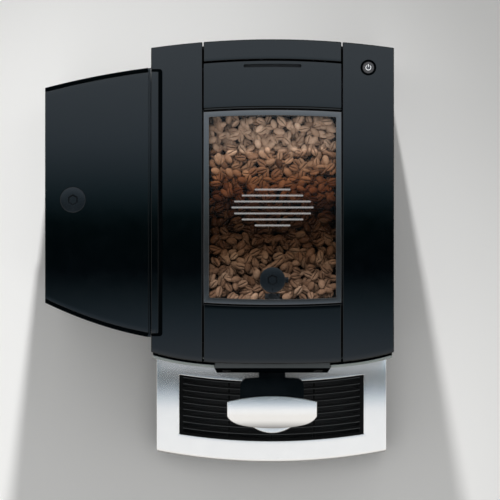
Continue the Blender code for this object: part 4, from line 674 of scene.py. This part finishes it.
def front_trim():
    """The silver trim below the top's front edge, and a black strip between the two that is painted shade for the
    shadow in the gap.
    """
    low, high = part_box("front_trim")
    ends = (low.x + 0.2 * MM, high.x - 0.2 * MM)
    trim = plate(ends, moved(cover_front, 4 * MM), moved(cover_front, -6 * MM), low.z, flat(high.z), 40, 2)
    finished(rounded(trim, 0.5 * MM, 2), "front_edge_trim", "machine", "silver", OLIVE, "front_trim")
    # painted shade: a black strip stands for the shadow in the gap under the cover's front edge
    gap_back, gap_front = moved(cover_front, 3 * MM), moved(cover_front, -3 * MM)
    gap = plate(ends, gap_back, gap_front, high.z - MM, flat(high.z + 0.8 * MM), 40, 2)
    finished(rounded(gap, 0.2 * MM, 1), "front_shadow_gap", "machine", "black_gloss", FACE)


def powder_flap():
    """The flap with its finger slot."""
    low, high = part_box("powder_flap")
    back = moved(back_edge, high.y - BACK + 1.4 * MM)
    flap = plate((STRIP_LEFT, STRIP_RIGHT), back, moved(hinge_curve, 3 * MM), low.z, crown, 24, 10)
    slot_back, slot_front = moved(back, -3.2 * MM), moved(back, -6.8 * MM)
    slot = plate(about(CENTRE, 62 * MM), slot_back, slot_front, low.z - 3 * MM, flat(TOP + 3 * MM), 12, 1)
    rounded(slot, 1.6 * MM, 3, chosen=upright)
    flap = carved(rounded(flap, 0.4 * MM, 3), slot)
    finished(flap, "powder_flap_cover", "powder_flap", "slate_gloss", SLATE, "powder_flap")


def hinge_lip():
    """The narrow fixed lip over the pin between the powder flap and the bean lid."""
    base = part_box("hinge_bar")[1].z + 0.1 * MM
    lip = plate(
        (STRIP_LEFT + 0.3 * MM, STRIP_RIGHT - 0.3 * MM), moved(hinge_curve, 2.7 * MM), moved(hinge_curve, 0.6 * MM),
        base, crown, 24, 2,
    )
    finished(rounded(lip, 0.9 * MM, 4), "hinge_lip", "machine", "slate_gloss", SLATE, "top_hinge_pin")


def bean_lid():
    """The lid's grey frame, its clear window, the lock and the grip."""
    span = (STRIP_LEFT, STRIP_RIGHT)
    border, clearance, inset = 5.8 * MM, 0.3 * MM, 1.0 * MM
    outer = outline(span, moved(lid_back_edge, -1.6 * MM), lid_front_edge, 24, 36)
    inner = outline(span, moved(lid_back_edge, -1.8 * MM), lid_front_edge, 24, 36, border)
    surround = ring_plate(between(outer, inner, 2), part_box("bean_lid_frame")[0].z, crown)
    finished(rounded(surround, 0.4 * MM, 3), "bean_lid_surround", "bean_lid", "grey_frame", GREY, "bean_lid_frame")

    pane_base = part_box("bean_window")[0].z
    pane = plate(
        (STRIP_LEFT + border + clearance, STRIP_RIGHT - border - clearance),
        moved(lid_back_edge, -border - 1.8 * MM - clearance), moved(lid_front_edge, border + clearance), pane_base,
        moved(crown, -inset), 24, 36,
    )
    lock = (CENTRE, LOCK_Y)
    pane = carved(rounded(pane, 0.15 * MM, 2), prism(lock, (pane_base - MM, TOP + MM), LOCK_BORE, 64))
    finished(pane, "bean_lid_window", "bean_lid", "smoked_window", WINDOW, "bean_window")

    key_disc("bean_lock_disc", "bean_lock", lock, "bean_lock")
    grip(crown(CENTRE, GRIP_Y) - inset)


def grip(surface):
    """Straight ribs moulded into the window as a thumb grip."""
    longest, taper, pitch = 88 * MM, 5.5 * MM, 6.4 * MM
    ribs = []
    for row in range(-3, 4):
        length = longest - taper * row * row
        rib = block(about(CENTRE, length), about(GRIP_Y + row * pitch, 2.0 * MM), about(surface, 1.5 * MM))
        rounded(rib, 0.95 * MM, 4, chosen=upright)
        ribs.append(rounded(rib, 0.5 * MM, 3))
    finished(together(*ribs), "window_grip", "bean_lid", "smoked_window", FROSTED)


def key_disc(name, body, centre, node):
    """A flush disc with a hexagon recess and a pip that shows where it points, on a shaft with its cam."""
    x, y = centre
    radius = 13.8 * MM
    top = crown(x, y) - 0.3 * MM
    base = crown(x, y) - 2.1 * MM
    disc = lathe(
        [
            (0, base), (radius, base), (radius, top - 0.7 * MM), (radius - 0.2 * MM, top - 0.25 * MM),
            (radius - 0.7 * MM, top), (0, top),
        ],
        centre, 64,
    )
    recess = cone(centre, about(top - 0.6 * MM, 1.3 * MM), 4.3 * MM, 6.0 * MM, 6)
    pip = prism((x, y - 10.6 * MM), (top - 0.5 * MM, top + MM), 0.8 * MM, 16)
    disc = carved(disc, recess, pip)
    low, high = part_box(node)
    shaft = prism(centre, (low.z, base + 0.2 * MM), 4.4 * MM, 24)
    cam_width, cam_height = 6 * MM, 3.4 * MM
    disc_reach = 15 * MM
    if high.x - x > disc_reach:
        cam_spans = (x, high.x), about(y, cam_width)
    else:
        cam_spans = about(x, cam_width), (y, high.y)
    cam = rounded(block(*cam_spans, (low.z, low.z + cam_height)), 0.6 * MM)
    finished(together(disc, shaft, cam), name, body, "slate_matte", DISC, node)


# Half a bean's section from the bottom of its cleft, as shares of its half width and half height
BEAN_SECTION = (
    (0.00, 0.20), (0.17, 0.66), (0.66, 0.58), (0.97, 0.12), (0.92, -0.35), (0.70, -0.74), (0.34, -0.95), (0.00, -1.00),
)
CLEFT_END = 0.3  # the cleft's painted shade stops short of both tips, where the section is smaller than this share
CLEFT_BOW = 0.10  # how far the cleft swings to either side, as a share of the half width
BEAN_SIZE = (6.1 * MM, 4.2 * MM, 3.0 * MM)  # half its length, width and height
BEAN_SCALES = (0.84, 1.06)
BEAN_LAYERS = ((17, 23, -6.0 * MM), (18, 25, -2.6 * MM), (15, 22, -0.4 * MM))  # columns, rows and height
BEAN_STRAY = 0.45  # how far a bean may stray from its spot, as a share of the pitch
FLAT_SIDE_UP = 0.70  # the share of beans that lie with the flat side up
TIP_SPREAD, ROLL_SPREAD = 0.22, 0.35  # in radians
MIDDLE_TONE, TONE_SPREAD = 0.5, 0.16
# the bed under the beans takes the darkest tone, as painted shade between them
SHADE_BED_TONE = -0.5
RANDOM_SEED = 11


def bean_mesh():
    """One bean with its flat side up, and how deep in its cleft each vertex lies, which marks where painted shade
    darkens the cleft.
    """
    bean = bmesh.new()
    steps = 2 * (len(BEAN_SECTION) - 1)
    bmesh.ops.create_uvsphere(bean, u_segments=steps, v_segments=7, radius=1)
    bmesh.ops.rotate(bean, matrix=Matrix.Rotation(math.pi / 2, 3, "Y"), verts=bean.verts)
    cleft_shade_mask = []
    for vert in bean.verts:
        reach = math.hypot(vert.co.y, vert.co.z)
        turn = math.atan2(vert.co.y, vert.co.z)
        index = round(abs(turn) / FULL_TURN * steps)
        y, z = BEAN_SECTION[index]
        groove = index == 0 and reach > CLEFT_END
        cleft_shade_mask.append(1.0 if groove else 0.0)
        bow = CLEFT_BOW * math.sin(3 * vert.co.x) if index < 2 else 0
        vert.co = (
            vert.co.x * BEAN_SIZE[0], (math.copysign(y, turn) * reach + bow * reach) * BEAN_SIZE[1],
            z * reach * BEAN_SIZE[2],
        )
    return as_mesh(bean, "bean"), cleft_shade_mask


def beans():
    """Loose beans laid in rows over the hopper's mouth, each turned and tipped by its own amount, on a dark bed that
    is painted shade in the gaps between them.
    """
    draw = random.Random(RANDOM_SEED)
    mesh, cleft_shade_mask = bean_mesh()
    low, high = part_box("bean_load")
    margin, back_margin = 0.6 * MM, 0.2 * MM
    left, right = low.x + margin, high.x - margin
    front, back = low.y + margin, high.y - back_margin
    # painted shade: a dark block under the beans fills the gaps between them with shade
    shade_bed = block((low.x + MM, high.x - MM), (low.y + MM, high.y - MM), (high.z - 14 * MM, high.z - 9 * MM))
    heap = bmesh.new()
    tones = []
    for columns, rows, height in BEAN_LAYERS:
        for spot in range(columns * rows):
            across_share = (spot % columns + 0.5 + draw.uniform(-BEAN_STRAY, BEAN_STRAY)) / columns
            along_share = (spot // columns + 0.5 + draw.uniform(-BEAN_STRAY, BEAN_STRAY)) / rows
            place = Matrix.Translation((
                left + (right - left) * across_share, front + (back - front) * along_share,
                high.z + height + draw.uniform(-1.0, 1.0) * MM,
            ))
            turn = Matrix.Rotation(draw.uniform(0, FULL_TURN), 4, "Z")
            tip = Matrix.Rotation(draw.gauss(0, TIP_SPREAD), 4, "Y")
            side_up = 0 if draw.random() < FLAT_SIDE_UP else math.pi
            roll = Matrix.Rotation(side_up + draw.gauss(0, ROLL_SPREAD), 4, "X")
            size = Matrix.Scale(draw.uniform(*BEAN_SCALES), 4)
            copy = mesh.copy()
            copy.transform(place @ turn @ tip @ roll @ size)
            heap.from_mesh(copy)
            bpy.data.meshes.remove(copy)
            tones.append(draw.gauss(MIDDLE_TONE, TONE_SPREAD))
    count = len(mesh.vertices)
    attributes = {
        "tone": [tone for tone in tones for _ in range(count)] + [SHADE_BED_TONE] * len(shade_bed.verts),
        "cleft": cleft_shade_mask * len(tones) + [1.0] * len(shade_bed.verts),
    }
    piece = finished(together(heap, shade_bed), "loose_beans", "machine", "roasted_bean", BEANS, "bean_load", sharp=75)
    for name, numbers in attributes.items():
        piece.data.attributes.new(name, "FLOAT", "POINT").data.foreach_set("value", numbers)


# Power button


def power_button():
    """The black ring and the dished steel cap with its symbol."""
    low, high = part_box("power_ring")
    centre = middle_of("power_ring")
    surface = crown(*centre)
    radius, wall, bevel = high.x - centre[0] + 0.5 * MM, 1.8 * MM, 0.4 * MM
    ring = lathe(
        [
            (radius - wall, low.z + 2 * MM), (radius, low.z + 2 * MM), (radius, surface - bevel),
            (radius - bevel, surface), (radius - 1.2 * MM, surface), (radius - wall, surface - 0.9 * MM),
        ],
        centre,
    )
    base = prism(centre, (low.z, low.z + 1.9 * MM), radius, 48)
    finished(together(ring, base), "power_button_ring", "machine", "black_gloss", FACE, "power_ring")

    cap_low, cap_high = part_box("power_button")
    top = cap_high.z
    cap_radius = cap_high.x - centre[0]
    cap = lathe(
        [
            (0, cap_low.z), (cap_radius, cap_low.z), (cap_radius, top - 0.4 * MM), (cap_radius - 0.4 * MM, top),
            (cap_radius - 1.0 * MM, top - 0.15 * MM), (cap_radius - 2.6 * MM, top - 0.75 * MM),
            (cap_radius - 4.4 * MM, top - 1.1 * MM), (0, top - 1.2 * MM),
        ],
        centre, 64,
    )
    finished(cap, "power_button_cap", "power_button", "sheet_steel", DARK_STEEL, "power_button")
    power_symbol(centre, top - 0.75 * MM)


def power_symbol(centre, height):
    """The lit sign for on and off: an open ring and a bar."""
    stroke, arc_radius = 0.42 * MM, 2.7 * MM
    arc_start, arc_turn = math.radians(125), math.radians(290)
    arc = bmesh.new()
    bmesh.ops.create_circle(arc, cap_ends=True, segments=8, radius=stroke, matrix=Matrix.Rotation(math.pi / 2, 4, "X"))
    bmesh.ops.translate(arc, vec=(arc_radius, 0, 0), verts=arc.verts)
    bmesh.ops.rotate(arc, matrix=Matrix.Rotation(arc_start, 3, "Z"), verts=arc.verts)
    bmesh.ops.spin(arc, geom=arc.faces[:], cent=(0, 0, 0), axis=(0, 0, 1), angle=arc_turn, steps=32)
    bmesh.ops.recalc_face_normals(arc, faces=arc.faces)
    bar = rounded(block(about(0, 0.85 * MM), (0.5 * MM, 3.6 * MM), (-stroke, stroke)), 0.3 * MM, 2)
    symbol = together(arc, bar)
    bmesh.ops.translate(symbol, vec=(*centre, height), verts=symbol.verts)
    finished(symbol, "power_symbol", "power_button", "white_plastic", LIT)


# Water tank


def water_tank():
    """The tank's lid with its lock, and the black rims that show at the lid's front and back."""
    low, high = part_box("tank_lid")
    inset = 4.4 * MM
    lid = plate((low.x, high.x), moved(tank_back_edge, -inset), moved(tank_front_edge, inset), low.z, crown, 20, 50)
    bore = prism(TANK_LOCK, (crown(*TANK_LOCK) - 2.4 * MM, TOP + MM), LOCK_BORE, 64)
    lid = carved(rounded(lid, 0.3 * MM, 2), bore)
    finished(lid, "tank_lid_cover", "tank_lid", "slate_gloss", SLATE, "tank_lid")
    key_disc("tank_lock_disc", "tank_lock", TANK_LOCK, "tank_lock")

    outward, inward = 0.4 * MM, 4.0 * MM
    rims = [
        plate((low.x, high.x - 0.4 * MM), back, front, TANK_RIM_BASE, moved(crown, 0.1 * MM), 20, 4)
        for back, front in (
            (moved(tank_back_edge, outward), moved(tank_back_edge, -inward)),
            (moved(tank_front_edge, inward), moved(tank_front_edge, -outward)),
        )
    ]
    finished(together(*(rounded(rim, 0.4 * MM, 2) for rim in rims)), "tank_rim", "tank", "black_gloss", FACE)


def tank_hinge():
    """The strip over the tank's hinge, its pin, and black pieces in the groove round the strip that are painted shade.
    """
    low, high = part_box("tank_hinge_strip")
    base = low.z
    right, back, front = high.x - 1.1 * MM, high.y - 1.2 * MM, low.y + 1.2 * MM
    strip = plate((HINGE_LEFT, right), flat(back), flat(front), base, crown, 4, 50)
    rounded(strip, 2.2 * MM, 4, chosen=lambda edge: upright(edge) and edge.verts[0].co.x > HINGE_LEFT + 3 * MM)
    rounded(strip, 0.5 * MM, 2)

    gap = 0.1 * MM
    groove_right, groove_back, groove_front = high.x + 3.2 * MM, high.y + 1.5 * MM, low.y - 1.8 * MM
    sides = (
        ((right + gap, groove_right), groove_back, groove_front, 1, 50),
        ((HINGE_LEFT, right + gap), groove_back, back + gap, 4, 1),
        ((HINGE_LEFT, right + gap), front - gap, groove_front, 4, 1),
    )
    # painted shade: black floors set just under the top fill the groove round the strip
    groove = [
        plate(x_span, flat(y_back), flat(y_front), base + MM, moved(crown, -0.7 * MM), columns, rows)
        for x_span, y_back, y_front, columns, rows in sides
    ]
    finished(together(*groove), "hinge_groove_shade", "machine", "black_gloss", FACE)

    pin = plate(about(HINGE_PIN_X, 1.4 * MM), flat(high.y - 1.6 * MM), flat(low.y), base, crown, 2, 50)
    rounded(pin, 0.2 * MM, 1)
    finished(together(strip, pin), "tank_hinge", "tank", "slate_gloss", SLATE, "tank_hinge_strip")


# Display, spout and drip tray


def spout():
    """The spout's silver cover and lip, its carriage and its nozzles."""
    low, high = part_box("spout_cover")
    back = swept(high.y, -6.0 * MM, high.x - low.x)
    front_sweep, corner_sweep = 7.0 * MM, 6.0 * MM

    def front(x):
        share = abs(across(x, high.x - low.x))
        return low.y + front_sweep * share**2 + corner_sweep * share**10

    def top(x, y):
        """A shallow crest near the back, then a fall that steepens to the front."""
        reach = (high.y - y) / MM
        return high.z - MM * (0.35 - 0.029 * reach + 0.00235 * reach**2 + 7.0e-8 * reach**5)

    cover = rounded(plate((low.x, high.x), back, front, low.z, top, 48, 24), 0.7 * MM, 3)
    finished(cover, "spout_top_cover", "spout", "silver", SILVER, "spout_cover")

    low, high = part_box("spout_lip")
    lip_front = swept(low.y, front_sweep, high.x - low.x)
    lip = plate((low.x, high.x), flat(high.y), lip_front, low.z, flat(high.z), 24, 2)
    finished(rounded(lip, 0.8 * MM, 3), "spout_front_lip", "spout", "silver", SILVER, "spout_lip")
    carriage = softened("spout_carriage", "spout_body", "spout", "slate_matte", SATIN, 0.8 * MM)
    slope_down_to_the_back(carriage.data.vertices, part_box("spout_carriage")[1].z, 0.035)
    softened("spout_nozzles", "nozzles", "spout", "black_gloss", BLACK, 0.4 * MM)


def slope_down_to_the_back(verts, top, slope):
    """Tilts the carriage's upper side, apart from what runs in its guide behind the front."""
    front_line = min(vert.co.y for vert in verts)
    for vert in verts:
        if vert.co.z > top - 12 * MM and (vert.co.y < TOP_FRONT or vert.co.z < top - 2 * MM):
            vert.co.z -= slope * (vert.co.y - front_line)


def display():
    """The display's black body and the grey strip along its top edge."""
    low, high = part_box("display_housing")
    softened("display_housing", "display_body", "machine", "black_gloss", FACE, 0.5 * MM)
    cap = plate(
        (low.x + 0.6 * MM, high.x - 0.6 * MM), moved(front_edge, -1.0 * MM), flat(TOP_FRONT - 5.6 * MM),
        high.z - 0.4 * MM, flat(high.z + 0.25 * MM), 24, 2,
    )
    finished(rounded(cap, 0.2 * MM, 2), "display_top_strip", "machine", "grey_frame", STRIP)


def drip_tray():
    """The tray's silver frame and its grille."""
    low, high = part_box("tray_frame")
    front = swept(TRAY_FRONT, 12.4 * MM, high.x - low.x)
    crest, bend, bend_radius, bend_drop, slope = -0.153, 22 * MM, 0.48, 0.50 * MM, 0.0458

    def top(x, y):
        """A crest that bends down to both sides, and an even fall in front of it."""
        ahead = crest - y
        if ahead < bend:
            return high.z - ahead**2 / (2 * bend_radius)
        return high.z - bend_drop - slope * (ahead - bend)

    clearance = 0.3 * MM
    grille_low, grille_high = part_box("tray_grille")
    span = (grille_low.x - clearance, grille_high.x + clearance)
    opening_front, opening_depth = TRAY_FRONT + 24.0 * MM, 66.7 * MM
    opening_edge = swept(opening_front, 8.0 * MM, span[1] - span[0])
    outer = outline((low.x, high.x), moved(front_edge, -0.8 * MM), front, 32, 40)
    inner = outline(span, moved(opening_edge, opening_depth), opening_edge, 32, 40)
    surround = ring_plate(between(outer, inner, 6), low.z, top)
    rounded(surround, 2.6 * MM, 4, chosen=lambda edge: all(vert.co.y < front(vert.co.x) + MM for vert in edge.verts))
    rounded(surround, 0.5 * MM, 2)
    finished(surround, "tray_surround", "tray", "silver", SILVER, "tray_frame")
    softened("tray_grille", "tray_grid", "tray", "black_gloss", GRID, 0.4 * MM)
    highlight_ridges(opening_edge, opening_front, opening_front + opening_depth - clearance)


def highlight_ridges(opening_edge, opening_front, back):
    """A thin raised ridge along each bar of the grille and along its rim at the back, light grey as a painted
    highlight on each front edge.
    """
    low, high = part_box("tray_grille")
    x_span = (low.x + 4.0 * MM, high.x - 4.0 * MM)
    rim, bar, bars = 2.6 * MM, 3.0 * MM, 8
    pitch = (back - low.y - 2 * rim + bar) / (bars + 1)
    fronts = [low.y + rim + index * pitch - bar for index in range(1, bars + 1)] + [back - rim]
    ridges = []
    for front in fronts:
        line = moved(opening_edge, front - opening_front)
        ridge_back, ridge_front = moved(line, 0.75 * MM), moved(line, 0.15 * MM)
        ridges.append(plate(x_span, ridge_back, ridge_front, high.z - 0.5 * MM, flat(high.z + 0.25 * MM), 24, 1))
    finished(together(*ridges), "highlight_ridges", "tray", "black_gloss", RIDGE_HIGHLIGHT)


# The stage: floor, lights and camera


def camera():
    """Looks straight down from far away."""
    data = bpy.data.cameras.new("camera")
    data.lens = 538.3
    data.clip_end = 100
    eye = placed("camera", data)
    eye.location = (0.0326, 0.0064, 8.47)
    bpy.context.scene.camera = eye


def lamp(name, kind, place, power):
    """A lamp that lights the scene without a mirror image of itself."""
    data = bpy.data.lights.new(name, kind)
    data.energy = power
    light = placed(name, data)
    light.location = place
    light.visible_glossy = False
    light.visible_transmission = False
    return light


def lamps():
    """A small lamp behind the machine, which casts the shadow, and a wide soft one overhead."""
    place, aim = Vector((-0.040, 1.46, 1.55)), Vector((-0.10, -0.31, 0.0))
    back_lamp = lamp("back_lamp", "SPOT", place, power=134)
    back_lamp.data.shadow_soft_size = 0.03
    back_lamp.data.spot_size = math.radians(34)
    back_lamp.data.spot_blend = 1.0
    back_lamp.rotation_mode = "QUATERNION"
    back_lamp.rotation_quaternion = (aim - place).to_track_quat("-Z", "Y")

    overhead_lamp = lamp("overhead_lamp", "AREA", (0, 0, 2.4), power=9.0)
    overhead_lamp.data.size = 1.2
    overhead_lamp.visible_camera = False


def sheet(name, half_side, place, material):
    """A flat square of the stage."""
    shape = bmesh.new()
    bmesh.ops.create_grid(shape, x_segments=1, y_segments=1, size=half_side)
    bmesh.ops.translate(shape, vec=place, verts=shape.verts)
    mesh = as_mesh(shape, name)
    mesh.materials.append(material)
    return placed(name, mesh)


def reflection_card():
    """A graded card overhead, which only glossy and transmission rays see."""
    front, depth = -0.45, 1.0
    finish = Finish("card_paint")
    tone = finish.ramp(
        (finish.along("Y") - front) / depth,
        (0.00, (1.02, 1.05, 1.08)),
        (0.15, (0.64, 0.74, 0.86)),
        (0.24, (0.32, 0.44, 0.56)),
        (0.30, (0.14, 0.22, 0.27)),
        (0.36, (0.00, 0.00, 0.01)),
        (0.48, (0.00, 0.02, 0.02)),
        (0.54, (0.14, 0.25, 0.31)),
        (0.66, (0.58, 0.72, 0.86)),
        (0.84, (0.92, 1.06, 1.20)),
    )
    finish.show(finish.node("Emission", None, {"Color": tone, "Strength": 1.0}))
    card = sheet("graded_card", half_side=0.75, place=(0, 0.05, 2.5), material=finish.material)
    card.visible_camera = False
    card.visible_diffuse = False
    card.visible_shadow = False


def studio():
    """The pale surroundings: even, but light overhead and dark near the floor in reflections."""
    world = bpy.data.worlds.new("studio")
    bpy.context.scene.world = world
    world.use_nodes = True
    sky = Nodes(world.node_tree)
    height = sky.node("SeparateXYZ", None, {0: sky.node("TexCoord", output="Generated")}, "Z")
    reflected = sky.ramp(
        height,
        (0.00, (0.04, 0.04, 0.04)),
        (0.30, (0.12, 0.12, 0.12)),
        (0.60, (0.50, 0.50, 0.50)),
        (0.85, (0.95, 0.95, 0.95)),
    )
    fill, backdrop_glow = 0.38, 0.52
    mirrored = sky.ray("Glossy") + sky.ray("Transmission")
    strength = fill + backdrop_glow * sky.ray("Camera") + mirrored * (reflected - fill)
    backdrop = sky.tree.nodes["Background"]
    sky.join((0.99, 0.99, 0.98), backdrop.inputs["Color"])
    sky.join(strength, backdrop.inputs["Strength"])


def stage():
    floor = sheet("floor", half_side=12, place=(0, 0, 0), material=floor_paint())
    studio()
    lamps()
    reflection_card()


cover_pieces()
front_trim()
powder_flap()
hinge_lip()
bean_lid()
beans()
power_button()
water_tank()
tank_hinge()
display()
spout()
drip_tray()
camera()
stage()

bpy.context.scene.view_settings.view_transform = "Standard"
